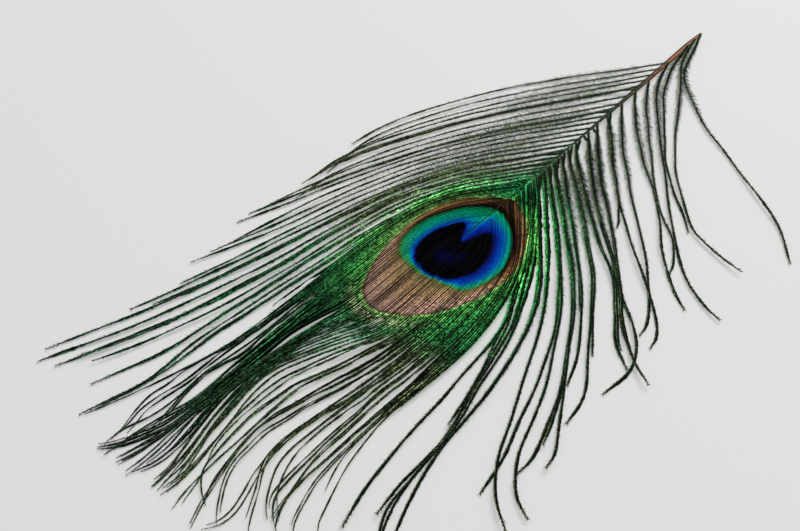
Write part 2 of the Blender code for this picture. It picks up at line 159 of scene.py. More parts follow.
FRINGE_LOCKS = (
    ((23.5, 165), (23.4, 175), (22.9, 182), (22.1, 190), (21.7, 196), (21.9, 200), (22.6, 205),
     (23.7, 210.6), (25.1, 215), (27.2, 221), (28.7, 225), (31.4, 228.3)),
    ((22.7, 165), (22.5, 175), (21.6, 187), (20.8, 197), (20.6, 203), (20.9, 209), (21.8, 214),
     (23.2, 218), (24.1, 220.7)),
    ((21.9, 165), (21.8, 175), (21, 187), (20.3, 197), (20.1, 205), (20.2, 212), (20.6, 217.5),
     (21.9, 223), (24, 228.8), (27, 231.5)),
    ((21.1, 165), (21, 175), (20.4, 187), (19.7, 197), (19.2, 204), (19, 211), (18.8, 218), (19, 224),
     (20.2, 230), (21.1, 233)),
    ((20.3, 165), (20.2, 175), (19.9, 187), (19.3, 197), (19, 206), (18.9, 213), (18.6, 220),
     (19.4, 226), (21.6, 230.5), (25, 233)),
    ((19.1, 165), (18.7, 175), (18.2, 185), (17.5, 190), (17.2, 196), (17.1, 204), (16.8, 211),
     (17.3, 217), (18.4, 222.5), (19.6, 227), (22, 231)),
    ((17.9, 165), (17.7, 175), (16.8, 185), (15.9, 191), (15.8, 199), (15.5, 206), (15.5, 215),
     (15.5, 221), (16.2, 226), (19, 229.6), (23, 232.3)),
    ((16.7, 165), (16.4, 175), (15.5, 184), (14.7, 190), (14.4, 195), (13.4, 200), (12.6, 205),
     (12.1, 210), (12.1, 215), (13.4, 220), (15.9, 224.8), (19, 228), (23.5, 231.4)),
    ((15.7, 165), (15.4, 175), (14.4, 184), (13.6, 190), (12.9, 196), (12.3, 202), (11.8, 209),
     (11.4, 215), (12.2, 220), (14.4, 224.6), (17.6, 229), (21.6, 232)),
    ((14.7, 165), (14.4, 175), (13.4, 184), (12.8, 190), (12, 196), (10.9, 201), (9.9, 205.5),
     (9.1, 210), (8.7, 215), (9.1, 220), (10.1, 225), (11.7, 230), (12.5, 234), (11.9, 237.7),
     (9.9, 240.5)),
    ((13.7, 165), (13.3, 175), (12.6, 184), (11.8, 190), (11, 196), (10.2, 201), (9.6, 205.5),
     (8.9, 210), (8.5, 215), (9.2, 220), (10.9, 223.4), (13, 226.4), (17.2, 233.5), (19.8, 236.7)),
    ((12.7, 165), (12.2, 175), (11, 184), (10, 190), (8.5, 196), (6.9, 201), (5.7, 205.5), (4.9, 210),
     (3.9, 215), (4.1, 220), (4.6, 225), (6.4, 229.5), (10.9, 235.7), (13, 237.7)),
    ((11.7, 165), (11.1, 175), (9.8, 184), (8.6, 190), (6.9, 196), (5.3, 201), (4.1, 205.5), (2.9, 210),
     (2.2, 215), (2.6, 220), (3.7, 225), (5.2, 230), (6.7, 235.7), (9.1, 241.5)),
    ((10.8, 165), (10.2, 175), (8.8, 184), (7.4, 190), (5.7, 196), (4.5, 201), (3.5, 205.5), (2.2, 210),
     (1.9, 215), (2.2, 220), (3, 225), (4.4, 230.5), (6.4, 235), (7.8, 238.5)),
    ((9.4, 165), (9, 175), (6.4, 184), (4.8, 190), (2.6, 196), (1.1, 201), (0.5, 206), (0.3, 213),
     (0.2, 220), (0.1, 226), (0.4, 232), (0.9, 237), (2, 241.7)),
    ((8.5, 165), (8.1, 175), (5.6, 184), (3.9, 190), (1.8, 196), (0, 201), (-0.8, 206), (-1.5, 211.5),
     (-1.4, 218), (-0.6, 225), (0.9, 230.5), (4.6, 234.2), (8.8, 236.6)),
    ((7.5, 165), (7.2, 175), (3.3, 184), (1.2, 190), (-0.8, 196), (-2.2, 201), (-2.7, 206), (-3, 213),
     (-2.8, 219), (-1.6, 224.5), (0.6, 229), (2.4, 233), (3.4, 237), (4.8, 241)),
    ((6.6, 165), (6.2, 175), (2.6, 184), (0.1, 190), (-1.9, 196), (-3.6, 201), (-4.3, 206), (-4.2, 212),
     (-3.6, 218), (-2.4, 224), (-1.3, 230), (-0.9, 236), (-1.3, 240)),
    ((5.5, 165), (5.1, 175), (1.2, 184), (-1.5, 190), (-3.9, 196), (-5.6, 201), (-6, 206),
     (-5.2, 212.5), (-3.9, 217.5), (-2.6, 224), (-1.6, 231), (-2, 238.6)),
    ((4.4, 165), (4, 175), (0, 184), (-2.8, 190), (-5.1, 196), (-6.7, 201), (-7.2, 206), (-6.4, 212),
     (-5.2, 219), (-3.9, 226), (-2.5, 232), (-2.4, 238.4)),
    ((3.2, 165), (2.7, 175), (-1.2, 184), (-3.9, 190), (-6.2, 196), (-7.8, 201), (-8, 207), (-7.2, 213),
     (-6.2, 219), (-4.4, 225), (-2.6, 231), (-0.4, 237.2)),
    ((2, 165), (1.4, 175), (-2.4, 184), (-5, 190), (-7.3, 196.5), (-8.6, 202), (-8.8, 208), (-8.2, 214),
     (-7, 220), (-5.2, 226), (-3.6, 232), (-2.3, 239.4)),
    ((0.8, 165), (0.2, 175), (-3.5, 184), (-6, 190), (-8.1, 197), (-9.2, 203), (-9.4, 209), (-8.8, 215),
     (-7.6, 221), (-6, 227.5), (-4.9, 234), (-4.6, 240)),
    ((-0.5, 165), (-1.1, 175), (-4.5, 184), (-6.8, 190), (-8.8, 197), (-9.8, 203), (-10.2, 209),
     (-9.8, 215), (-8.6, 221.5), (-7, 228), (-5.5, 234), (-5.3, 238.6)),
    ((-1.9, 165), (-2.5, 175), (-5.5, 184), (-7.6, 190), (-9.5, 197), (-10.4, 204), (-10.6, 210),
     (-10.1, 217), (-8.8, 223), (-7.9, 230), (-8.2, 235), (-10, 240.5)),
    ((-3.4, 165), (-3.9, 175), (-6.5, 184), (-8.4, 190), (-10, 197), (-10.8, 204), (-11, 211),
     (-10.7, 218), (-9.6, 225), (-8.5, 231.5), (-8.8, 237.6)),
    ((-5, 165), (-5.4, 175), (-7.4, 184), (-9, 190.5), (-10.3, 198), (-10.9, 206), (-11.3, 213),
     (-11.7, 220), (-11.4, 228), (-11.1, 235), (-11.3, 241)),
    ((-6.8, 165), (-7, 175), (-8.6, 184), (-9.8, 191), (-10.8, 199), (-11.2, 206), (-11.8, 214),
     (-12.3, 221), (-12.1, 228), (-12.5, 234.5), (-13.7, 240.5)),
    ((-9, 165), (-9.4, 175), (-11.2, 184), (-12.3, 191), (-12.4, 199), (-12.4, 207), (-12.5, 214),
     (-12.8, 222), (-12.9, 229), (-14, 235), (-15.4, 240.8)),
    ((-11, 165), (-11.4, 175), (-12.6, 184), (-13, 191), (-13.2, 199), (-13.2, 207), (-13.2, 214),
     (-13.4, 220), (-13.7, 226), (-15.1, 231), (-17.5, 236.5), (-20.2, 240)),
    ((-13, 165), (-13.2, 175), (-13.9, 184), (-14, 191), (-14, 199), (-14, 207), (-13.8, 214),
     (-12.9, 221), (-13.3, 226.5), (-15.2, 232), (-17.4, 236.6), (-20.6, 240.4)),
    ((-14.6, 165), (-14.8, 175), (-15, 184), (-15.1, 192), (-15.1, 200), (-15, 207), (-14.6, 213),
     (-14.5, 219), (-15.8, 225), (-17, 232), (-17.8, 241)),
    ((-16.1, 165), (-16.2, 175), (-16.4, 185), (-16.4, 195), (-16.1, 203), (-17.2, 207), (-18, 211),
     (-18, 217), (-16.8, 222.5), (-15.6, 229), (-15.4, 235)),
    ((-17.3, 165), (-17.3, 175), (-17.2, 186), (-17.2, 196), (-17.9, 204), (-18.6, 212), (-17.9, 220),
     (-18.4, 227), (-20.6, 234), (-20.3, 239)),
    ((-18.1, 165), (-18.2, 175), (-18.5, 186), (-18.8, 195), (-19.5, 202), (-19.6, 209), (-19.5, 216),
     (-20.4, 222.5), (-20.7, 227), (-19.4, 232.6), (-19, 236)),
    ((-18.8, 165), (-18.9, 175), (-19.2, 186), (-19.7, 196), (-20.2, 202), (-21.5, 207.5), (-22.4, 213),
     (-22.6, 219), (-23.2, 223.5), (-22.4, 228), (-20.4, 234), (-20, 237)),
    ((-19.5, 165), (-19.6, 175), (-19.9, 187), (-20.2, 197), (-21.3, 206), (-22.7, 213), (-24.2, 219.5),
     (-25.5, 224.5), (-27.4, 230), (-30, 237)),
    ((-20.3, 165), (-21.1, 172), (-21.4, 180), (-21.1, 187), (-20.7, 190.5)),
    ((-21.2, 165), (-22.3, 176), (-23.2, 187), (-24.2, 196), (-25.2, 209), (-25.6, 220), (-26.2, 228),
     (-28.4, 238)),
)
print(len(NEAR_LOCKS), "near,", len(FAR_LOCKS), "far and", len(FRINGE_LOCKS), "fringe guide lines")

# %% [markdown]
# ## From points to a smooth line
#
# A barb is springy, so it never turns a corner. A Catmull-Rom curve passes through every chosen point and
# keeps its heading at each of them. Spacing its knots by the square root of the distance keeps it from
# overshooting where two points lie close together.

# %% Smooth lines
FINE_STEPS = 14


def fine_line(points):
    """Each span's point is the centripetal Catmull-Rom blend of its four nearest knots, by their barycentric
    pyramid; all steps of a span are worked out at once."""
    points = np.array(points, dtype=float)
    steps = np.linalg.norm(np.diff(points, axis=0), axis=1)
    knots = np.concatenate([[0.0], np.cumsum(np.sqrt(steps))])
    points = np.vstack([2 * points[0] - points[1], points, 2 * points[-1] - points[-2]])
    knots = np.concatenate([[2 * knots[0] - knots[1]], knots, [2 * knots[-1] - knots[-2]]])
    spans = np.arange(len(points) - 3)
    k0, k1, k2, k3 = (knots[spans + shift][:, None, None] for shift in range(4))
    p0, p1, p2, p3 = (points[spans + shift][:, None, :] for shift in range(4))
    k = k1 + (k2 - k1) * np.linspace(0.0, 1.0, FINE_STEPS, endpoint=False)[None, :, None]
    a1 = ((k1 - k) * p0 + (k - k0) * p1) / (k1 - k0)
    a2 = ((k2 - k) * p1 + (k - k1) * p2) / (k2 - k1)
    a3 = ((k3 - k) * p2 + (k - k2) * p3) / (k3 - k2)
    b1 = ((k2 - k) * a1 + (k - k0) * a2) / (k2 - k0)
    b2 = ((k3 - k) * a2 + (k - k1) * a3) / (k3 - k1)
    line = (((k2 - k) * b1 + (k - k1) * b2) / (k2 - k1)).reshape(-1, points.shape[1])
    return np.vstack([line, points[-2]])


def even_line(points, count):
    """The same curve, read off at even steps of its own length."""
    line = fine_line(points)
    travelled = np.concatenate([[0.0], np.cumsum(np.linalg.norm(np.diff(line, axis=0), axis=1))])
    wanted = np.linspace(0.0, travelled[-1], count)
    return np.stack([np.interp(wanted, travelled, line[:, axis]) for axis in range(line.shape[1])], axis=1)


STATIONS = 72
near_guides = np.array([even_line([(0.0, row[0]), *row[1:]], STATIONS) for row in NEAR_LOCKS])
far_guides = np.array([even_line([(0.0, row[0]), *row[1:]], STATIONS) for row in FAR_LOCKS])
print("guide lines:", near_guides.shape, far_guides.shape)

# %% [markdown]
# ## The heights
#
# The shaft lies almost on the table, the closed vane is a low dome over it, and the loose barbs rise off it
# and come down again at their tips. A low dome and shallow arches are enough to throw the soft shadows that
# make a feather look light.

# %% Heights above the table
SHAFT_LENGTH = 139.5
SHAFT_RADIUS_CUT, SHAFT_RADIUS_END = 1.15, 0.30
SHAFT_TAPER = 0.8
SHAFT_HEIGHT_CUT, SHAFT_HEIGHT_END = 1.15, 1.5
# Where the vane closes, the shaft climbs this much more on to the dome.
SHAFT_CLIMB, SHAFT_CLIMBS = 0.42, (80.0, 108.0)
DOME_HEIGHT, DOME_HALF_WIDTH = 2.0, 30.0
DOME_FALL = 0.6
TIP_HEIGHT = 0.45
SLOPE_LENGTH = 15.0


def shaft_radius(along):
    """Falls from the cut end's radius to the end's, as length to the power 0.8."""
    share = np.clip(along / SHAFT_LENGTH, 0.0, 1.0)
    return SHAFT_RADIUS_CUT + (SHAFT_RADIUS_END - SHAFT_RADIUS_CUT) * share ** SHAFT_TAPER


def shaft_middle(along):
    """Rises evenly from the cut end's height to the end's, and by a soft step more where the vane closes."""
    share = np.clip(along / SHAFT_LENGTH, 0.0, 1.0)
    even = SHAFT_HEIGHT_CUT + (SHAFT_HEIGHT_END - SHAFT_HEIGHT_CUT) * share
    return even + SHAFT_CLIMB * smoothstep(*SHAFT_CLIMBS, along)


def dome(across):
    """A parabola across the shaft: highest over it, lower at the vane's edges."""
    return DOME_HEIGHT * (1 - DOME_FALL * (across / DOME_HALF_WIDTH) ** 2)


print("shaft top at the eye:", round(float(shaft_middle(130.0) + shaft_radius(130.0)), 2), "mm")

# %% [markdown]
# ## The barbs of the eye
#
# Round the eye the barbs keep exact order. Each leaves the shaft at about 40 degrees and bends until it
# runs parallel with it. If x is the straight line it set out on and T the distance from the shaft at which
# it ends up, then x / (1 + (x/T)^p)^(1/p) follows the first and settles on the second. Past the eye each
# barb joins the nearest guide of the fringe and keeps a part of its own place beside it.

# %% The orderly curve of a barb
EYE_SPACING = 0.55
NEAR_EDGE, FAR_EDGE = 23.75, 20.4
MEASURE_LINE = 165.0
ROOT_MIDDLE, ROOT_PER_MM_NEAR, ROOT_PER_MM_FAR = 138.5, 1.25, 1.6
LEAVING_NEAR, LEAVING_FAR = (0.80, 0.68), (0.90, 0.82)
EYE_REACH = 24.0
BEND_POWER = 3.4


def eye_root(place):
    """A barb that crosses the measuring line further from the shaft started further back."""
    return ROOT_MIDDLE - np.where(place > 0, ROOT_PER_MM_NEAR, ROOT_PER_MM_FAR) * np.abs(place)


def eye_across(place, along):
    """x / (1 + (x/T)^p)^(1/p), with T set so that the barb crosses the measuring line at its place. The
    slope on leaving falls with the square of the place, from the first number to the second."""
    outer = (place / EYE_REACH) ** 2
    slope = np.where(place > 0, LEAVING_NEAR[0] + (LEAVING_NEAR[1] - LEAVING_NEAR[0]) * outer,
                     LEAVING_FAR[0] + (LEAVING_FAR[1] - LEAVING_FAR[0]) * outer)
    reach = (MEASURE_LINE - eye_root(place)) * slope
    settle = np.abs(place) / (1 - (np.abs(place) / reach) ** BEND_POWER) ** (1 / BEND_POWER)
    x = np.maximum(along - eye_root(place), 0.0) * slope
    return np.sign(place) * x / (1 + (x / settle) ** BEND_POWER) ** (1 / BEND_POWER)


print("the outermost near barb leaves the shaft at", round(float(eye_root(NEAR_EDGE)), 1), "mm")

# %% Lay the eye's barbs
HANDOVER = (160.0, 176.0)
# Unevenness in mm: of the places, except those over the shaft, and of the tips and their drift.
PLACE_SPREAD, OVER_SHAFT = 0.09, 1.2
TIP_SPREAD, TIP_CUT_MOST = 1.8, 4.0
DRIFT_SPREAD = 0.6
SWAY, SWAY_LENGTH = 0.14, 6.0
# Past the handover each barb closes up to its guide by this share of its distance from it.
CLOSING_UP, CLOSES_UP = 0.6, (172.0, 190.0)


def lay_eye_barbs(rng):
    """Along runs evenly from the root to the tip of the nearest guide. Across is the orderly curve x (1 - s)
    + the loose one x s, where the loose one is the guide + the barb's place beside it + a drift, and s is a
    smoothstep over the handover."""
    half = 0.5 * EYE_SPACING
    near_places = np.arange(half, NEAR_EDGE, EYE_SPACING)[::-1]
    places = np.concatenate([near_places, -np.arange(half, FAR_EDGE, EYE_SPACING)])
    spread = rng.uniform(-PLACE_SPREAD, PLACE_SPREAD, len(places))
    places = places + spread * (np.abs(places) > OVER_SHAFT)
    fringe = [fine_line(row) for row in FRINGE_LOCKS]
    guide_places = np.array([row[0][0] for row in FRINGE_LOCKS])
    choice = np.argmin(np.abs(places[:, None] - guide_places[None, :]), axis=1)
    lines = []
    for place, pick in zip(places, choice):
        guide = fringe[pick]
        tip = guide[-1, 1] - min(abs(rng.normal(0.0, TIP_SPREAD)), TIP_CUT_MOST)
        along = np.linspace(float(eye_root(place)), tip, STATIONS)
        orderly = eye_across(np.full(STATIONS, place), along)
        past = smoothstep(MEASURE_LINE, tip, along)
        drift = rng.normal(0.0, DRIFT_SPREAD) * past ** 2
        drift = drift + SWAY * np.sin(along / SWAY_LENGTH + rng.uniform(0, FULL_TURN)) * past
        beside = (place - guide_places[pick]) * (1 - CLOSING_UP * smoothstep(*CLOSES_UP, along))
        loose = np.interp(along, guide[:, 1], guide[:, 0]) + beside + drift
        share = smoothstep(*HANDOVER, along)
        lines.append(np.stack([along, orderly * (1 - share) + loose * share], axis=1))
    return places, np.array(lines)


eye_places, eye_lines = lay_eye_barbs(chance(11))
print(len(eye_places), "barbs in the eye, roots from", round(float(eye_lines[:, 0, 0].min()), 1), "mm")

# %% [markdown]
# ## The loose barbs of the sides
#
# Below the eye the barbs stand further apart and lean on each other in locks of two or three. Each barb
# starts from its own root and within the first centimetre closes up to its lock, because barbs that touch
# hook together and stay together. A lock between two guides runs as a blend of them.

# %% Lay the side barbs
NEAR_HELD = [row[0] for row in NEAR_LOCKS]
NEAR_ROOTS = sorted([*NEAR_HELD, 72.3, 77.6, 79.8, 84.3, 88.2, 91.8, 101.0])
FAR_HELD = [25, 29.5, 34, 38, 43.6, 50, 55.5, 59.8, 64.2, 68.2, 72.4, 76.2, 79.8, 83.2, 87.4, 91.2, 94.4,
            97.3, 100.0, 102.6, 105.2]
FAR_ROOTS = sorted([*FAR_HELD, 42, 45.3, 58.4, 61.2, 86.2, 88.8, 93.4, 95.4, 99.1, 100.8, 103.9])
CLOSING_SHARE = 0.06
LOCK_HALF_WIDTH, LOCK_WIDENS = 0.42, (0.04, 0.2)
# A slow sway and a quick one: size in mm, range of radians along a barb, and where along it the sway grows.
SWAYS = ((0.12, (5.0, 11.0), (0.1, 0.4)), (0.10, (24.0, 40.0), (0.03, 0.1)))
SIDE_DRIFT_SPREAD, DRIFT_POWER = 0.35, 2.5
# A barb that doesn't lead its lock keeps a share of its guide's length that is drawn from this range.
FOLLOWER_LENGTH = (0.72, 0.97)


def lay_side_barbs(guides, roots, held_at, rng):
    """Each station blends the two guides on either side of p, where p slides from the barb's own root to its
    lock's; inside the lock the barb keeps a place of its own and sways a little, and its tip is cut back."""
    guide_roots = guides[:, 0, 1]
    share = np.linspace(0.0, 1.0, STATIONS)
    station = np.arange(STATIONS)
    lines = []
    for root in roots:
        lock = min(held_at, key=lambda place: abs(place - root))
        leads = root == lock
        p = root + (lock - root) * smoothstep(0.0, CLOSING_SHARE, share)
        index = np.interp(p, guide_roots, np.arange(len(guides)))
        low = np.minimum(index.astype(int), len(guides) - 2)
        weight = (index - low)[:, None]
        line = guides[low, station] * (1 - weight) + guides[low + 1, station] * weight
        aside = 0.0 if leads else rng.choice([-1, 1]) * LOCK_HALF_WIDTH * smoothstep(*LOCK_WIDENS, share)
        sway = 0.0
        for size, radians, grows in SWAYS:
            wave = size * np.sin(share * rng.uniform(*radians) + rng.uniform(0, FULL_TURN))
            sway = sway + wave * smoothstep(*grows, share)
        drift = rng.normal(0.0, SIDE_DRIFT_SPREAD, 2) * share[:, None] ** DRIFT_POWER
        line = line + drift + np.stack([aside + sway, np.zeros(STATIONS)], axis=1)
        kept = 1.0 if leads else rng.uniform(*FOLLOWER_LENGTH)
        inner = np.linspace(0.0, kept, STATIONS)
        line = np.stack([np.interp(inner, share, line[:, axis]) for axis in (0, 1)], axis=1)
        lines.append(line[:, ::-1])
    return np.array(lines)


near_lines = lay_side_barbs(near_guides, NEAR_ROOTS, NEAR_HELD, chance(21))
far_lines = lay_side_barbs(far_guides, FAR_ROOTS, FAR_HELD, chance(22))
print(len(near_lines), "near and", len(far_lines), "far barbs")

# %% [markdown]
# ## Lift the barbs off the table
#
# A barb starts at the top of the shaft, rises by a shallow arch and comes down to rest on its tip. Every
# barb gets a slightly different arch, so that crossing barbs pass over and under each other.

# %% Lengths and slow random waves
SLOW_PART, QUICK_PART, QUICKER = 0.6, 0.4, 2.3


def barb_lengths(barbs):
    """Millimetres along each barb from its root to each of its points."""
    steps = np.linalg.norm(np.diff(barbs, axis=1), axis=2)
    return np.concatenate([np.zeros((len(barbs), 1)), np.cumsum(steps, axis=1)], axis=1)


def wander(shape, waves, rng):
    """A smooth random number along each barb: two sines with random phases, between -1 and 1."""
    turn = 2 * np.pi * waves * np.linspace(0.0, 1.0, shape[1])[None, :]
    phase = rng.uniform(0, 2 * np.pi, (2, shape[0], 1))
    return SLOW_PART * np.sin(turn + phase[0]) + QUICK_PART * np.sin(QUICKER * turn + phase[1])


print("longest near barb:", round(float(barb_lengths(near_lines)[:, -1].max())), "mm")

# %% Give every barb its height
# A barb leaves the shaft this share of its radius above its middle.
ROOT_RISE = 0.9
SIDE_ARCH, SIDE_WAVES = 0.9, 1.6
SIDE_ARCH_GROWS, SIDE_ARCH_ENDS = (0.1, 0.35), (0.75, 1.0)
CURL_MOST, CURL_CHANCE, CURL_SHARE = 1.2, 0.5, (0.82, 1.0)
FRINGE_DOWN_AT = 205.0
FRINGE_ARCH, FRINGE_WAVES, FRINGE_ARCH_GROWS = 0.7, 3.0, (172.0, 195.0)
FRINGE_END = (215.0, 240.0)


def lift_side_barbs(lines, rng):
    """Height falls from the shaft's top to the tip's over the slope's length; a slow wave makes barbs pass
    over and under each other, and half of the tips curl up."""
    travelled = barb_lengths(lines)
    share = travelled / travelled[:, -1:]
    start = shaft_middle(lines[:, :1, 0]) + ROOT_RISE * shaft_radius(lines[:, :1, 0])
    height = TIP_HEIGHT + (start - TIP_HEIGHT) * (1 - smoothstep(0.0, SLOPE_LENGTH, travelled))
    wave = SIDE_ARCH * (0.5 + 0.5 * wander(share.shape, SIDE_WAVES, rng))
    wave = wave * smoothstep(*SIDE_ARCH_GROWS, share)
    curl = rng.uniform(0.0, CURL_MOST, (len(lines), 1)) * (rng.random((len(lines), 1)) > CURL_CHANCE)
    height = height + wave * (1 - smoothstep(*SIDE_ARCH_ENDS, share)) + curl * smoothstep(*CURL_SHARE, share)
    return np.concatenate([lines, height[:, :, None]], axis=2)


def lift_eye_barbs(lines, rng):
    """The dome's height over the closed vane, then down to the table, with a slow wave in the fringe."""
    along, across = lines[:, :, 0], lines[:, :, 1]
    down = smoothstep(HANDOVER[0], FRINGE_DOWN_AT, along)
    wave = FRINGE_ARCH * (0.5 + 0.5 * wander(along.shape, FRINGE_WAVES, rng))
    wave = wave * smoothstep(*FRINGE_ARCH_GROWS, along)
    height = dome(across) * (1 - down) + TIP_HEIGHT * down + wave * (1 - smoothstep(*FRINGE_END, along))
    return np.concatenate([lines, height[:, :, None]], axis=2)


near_flat = lift_side_barbs(near_lines, chance(31))
far_flat = lift_side_barbs(far_lines, chance(32))
eye_flat = lift_eye_barbs(eye_lines, chance(33))
print("highest barb:", round(float(max(b[:, :, 2].max() for b in (near_flat, far_flat, eye_flat))), 2), "mm")

# %% [markdown]
# ## From drawn places to real ones
#
# All lines so far are drawn as the photograph shows them: flat, in the plane of the shaft. A point that
# really stands above that plane has to move a little towards the viewpoint to stay on the same line of
# sight, and one below it moves away. The same step backwards gives the drawn place of any real point, which
# the colours of the eye will need.

# %% Lines of sight
VIEWPOINT = np.array([302.3, 109.9, 169.5])
DRAWN_HEIGHT = 1.1


def stand_up(drawn):
    """Real place = drawn place + (viewpoint - drawn place) x (height - drawn height) / (its own height -
    drawn height)."""
    climb = (drawn[..., 2:] - DRAWN_HEIGHT) / (VIEWPOINT[2] - DRAWN_HEIGHT)
    moved = drawn[..., :2] + (VIEWPOINT[:2] - drawn[..., :2]) * climb
    return np.concatenate([moved, drawn[..., 2:]], axis=-1)


def drawn_place(real):
    """The inverse: where the line of sight through a real point meets the drawn plane."""
    climb = (real[..., 2:] - DRAWN_HEIGHT) / (VIEWPOINT[2] - DRAWN_HEIGHT)
    return (real[..., :2] - VIEWPOINT[:2] * climb) / (1 - climb)


near_barbs, far_barbs, eye_barbs = map(stand_up, (near_flat, far_flat, eye_flat))
print("largest step, mm:", round(float(np.abs(near_barbs - near_flat).max()), 2))

# %% [markdown]
# ## The eye as rings
#
# The colours of the eye are not paint but structure, and they change along each barb in a fixed order:
# near-black, violet-blue, turquoise, bronze, a thin yellow-green rim and then green that fades to olive. So
# one number is enough to say which colour a point has. It counts 0 to 1 inside the heart-shaped pupil, 1 to
# 2 across the blue, 2 to 3 across the bronze, and from 3 on outside, and it comes from the distances to
# three outlines with a few listed points each.

# %% Outlines of the eye, as (across, along) points
PUPIL = ((0.2, 138.6), (1.0, 137.4), (2.0, 134.4), (3.0, 132.1), (4.4, 131.5), (6.1, 133.0), (7.9, 136.1),
         (9.2, 139.9), (9.6, 143.4), (9.5, 146.5), (8.2, 149.6), (6.5, 151.9), (3.9, 153.6), (0.8, 154.1),
         (-2.3, 153.5), (-5.1, 152.0), (-7.1, 149.5), (-8.2, 146.2), (-8.4, 142.7), (-7.9, 139.1),
         (-6.7, 135.8), (-5.1, 133.0), (-3.6, 132.0), (-2.6, 133.0), (-1.3, 136.0))
TURQUOISE = ((-0.2, 122.2), (3.0, 123.5), (6.0, 125.6), (8.9, 128.6), (11.2, 132.1), (13.1, 136.2),
             (14.3, 140.6), (14.4, 144.5), (13.9, 147.9), (12.7, 151.0), (11.2, 153.6), (9.8, 154.0),
             (7.7, 154.1), (4.8, 154.3), (1.7, 154.7), (-2.0, 154.6), (-5.5, 154.0), (-8.5, 153.1),
             (-11.2, 150.7), (-13.0, 146.8), (-13.1, 141.4), (-12.4, 136.2), (-10.5, 131.3), (-8.0, 127.1),
             (-5.3, 124.5), (-2.7, 122.9))
BRONZE = ((0.7, 115.9), (4.0, 117.6), (7.6, 120.4), (11.0, 124.4), (13.7, 128.7), (15.7, 133.4),
          (16.9, 138.5), (17.2, 143.6), (16.5, 149.3), (15.2, 154.5), (13.1, 159.2), (10.9, 163.5),
          (8.3, 166.7), (4.7, 169.8), (0.6, 171.6), (-2.9, 172.0), (-5.9, 171.0), (-8.3, 168.8),
          (-10.4, 165.0), (-12.3, 160.1), (-13.6, 154.7), (-14.5, 149.4), (-14.9, 143.2), (-14.8, 138.0),
          (-14.1, 133.4), (-12.9, 129.3), (-10.8, 125.1), (-8.1, 121.7), (-4.5, 118.9), (-1.6, 117.1))


# Keeps a division from meeting zero.
TINY = 1e-12


def closed_outline(points):
    """The smooth line through the points and back to the first, as many short straight sides."""
    wrapped = [*points[-2:], *points, *points[:3]]
    line = fine_line(wrapped)
    return line[2 * FINE_STEPS:(2 + len(points)) * FINE_STEPS + 1]


def signed_distance(places, outline):
    """Distance to the nearest side of the outline, in mm, negative inside. A point is inside if a ray from
    it crosses an odd number of sides."""
    a, b = outline[:-1], outline[1:]
    side = b - a
    best = np.full(len(places), np.inf)
    crossings = np.zeros(len(places), dtype=int)
    for start, run in zip(a, side):
        offset = places - start
        t = np.clip(offset @ run / max(run @ run, TINY), 0.0, 1.0)
        best = np.minimum(best, np.hypot(*(offset - t[:, None] * run).T))
        spans = (start[1] > places[:, 1]) != (start[1] + run[1] > places[:, 1])
        if run[1] != 0.0:
            cut = start[0] + (places[:, 1] - start[1]) / run[1] * run[0]
            crossings += spans & (places[:, 0] < cut)
    return np.where(crossings % 2 == 1, -best, best)


pupil_outline, turquoise_outline, bronze_outline = map(closed_outline, (PUPIL, TURQUOISE, BRONZE))
for outline in (pupil_outline, turquoise_outline, bronze_outline):
    print("outline of the eye, mm wide and long:", np.round(np.ptp(outline, axis=0), 1))

# %% [markdown]
# ## One number for the colour
#
# Between two outlines the number is the share of the way from one to the other, d1 / (d1 + d2). On the side
# that faces away from the light the blue is wide and the turquoise thin, and on the other side it is the
# reverse, which an exponent on the share does. Outside the bronze the number grows by 1 every 30 mm.

# %% The ring number
OUTSIDE_MM_PER_RING = 30.0
BLUE_POWER_NEAR, BLUE_POWER_FAR = 1.6, 0.5
# The far half's exponent turns to the near half's between these places across, over the shaft.
HALVES_MEET = (-0.3, 0.5)
PUPIL_DEPTH = 8.0
# Keeps the shares defined where two outlines touch.
LEAST_GAP = 1e-6


def ring_number(points, back=0.0):
    """0..1 pupil, 1..2 blue to turquoise, 2..3 bronze, 3 + d/30 outside, from signed distances d at the
    drawn places, read `back` mm nearer to the cut end."""
    drawn = drawn_place(points)
    shape = drawn.shape[:-1]
    places = np.stack([drawn[..., 1].ravel(), (drawn[..., 0] - back).ravel()], axis=1)
    pupil = signed_distance(places, pupil_outline)
    turquoise = signed_distance(places, turquoise_outline)
    bronze = signed_distance(places, bronze_outline)
    iris = np.clip(pupil / (pupil + np.abs(turquoise) + LEAST_GAP), 0.0, 1.0)
    near_share = smoothstep(*HALVES_MEET, places[:, 0])
    iris = iris ** (BLUE_POWER_FAR + (BLUE_POWER_NEAR - BLUE_POWER_FAR) * near_share)
    band = np.clip(turquoise / (turquoise + np.abs(bronze) + LEAST_GAP), 0.0, 1.0)
    ring = np.where(pupil < 0, 1 + np.maximum(pupil / PUPIL_DEPTH, -1.0), 1 + iris)
    ring = np.where(turquoise > 0, 2 + band, ring)
    ring = np.where(bronze > 0, 3 + bronze / OUTSIDE_MM_PER_RING, ring)
    return ring.reshape(shape)


print("ring number at the pupil, the blue, the bronze and the rim:",
      np.round(ring_number(np.array([[place, 0.0, 2.0] for place in (146.0, 128.0, 164.0, 175.0)])), 2))

# %% [markdown]
# ## Putting arrays into a mesh
#
# Every piece ends up as one array of points and one of faces. Handing whole arrays to Blender is hundreds
# of times faster than adding points one by one. Numbers that vary over a piece, such as the ring number, go
# with it as named attributes, and its materials read them by name.

# %% One helper that makes a piece


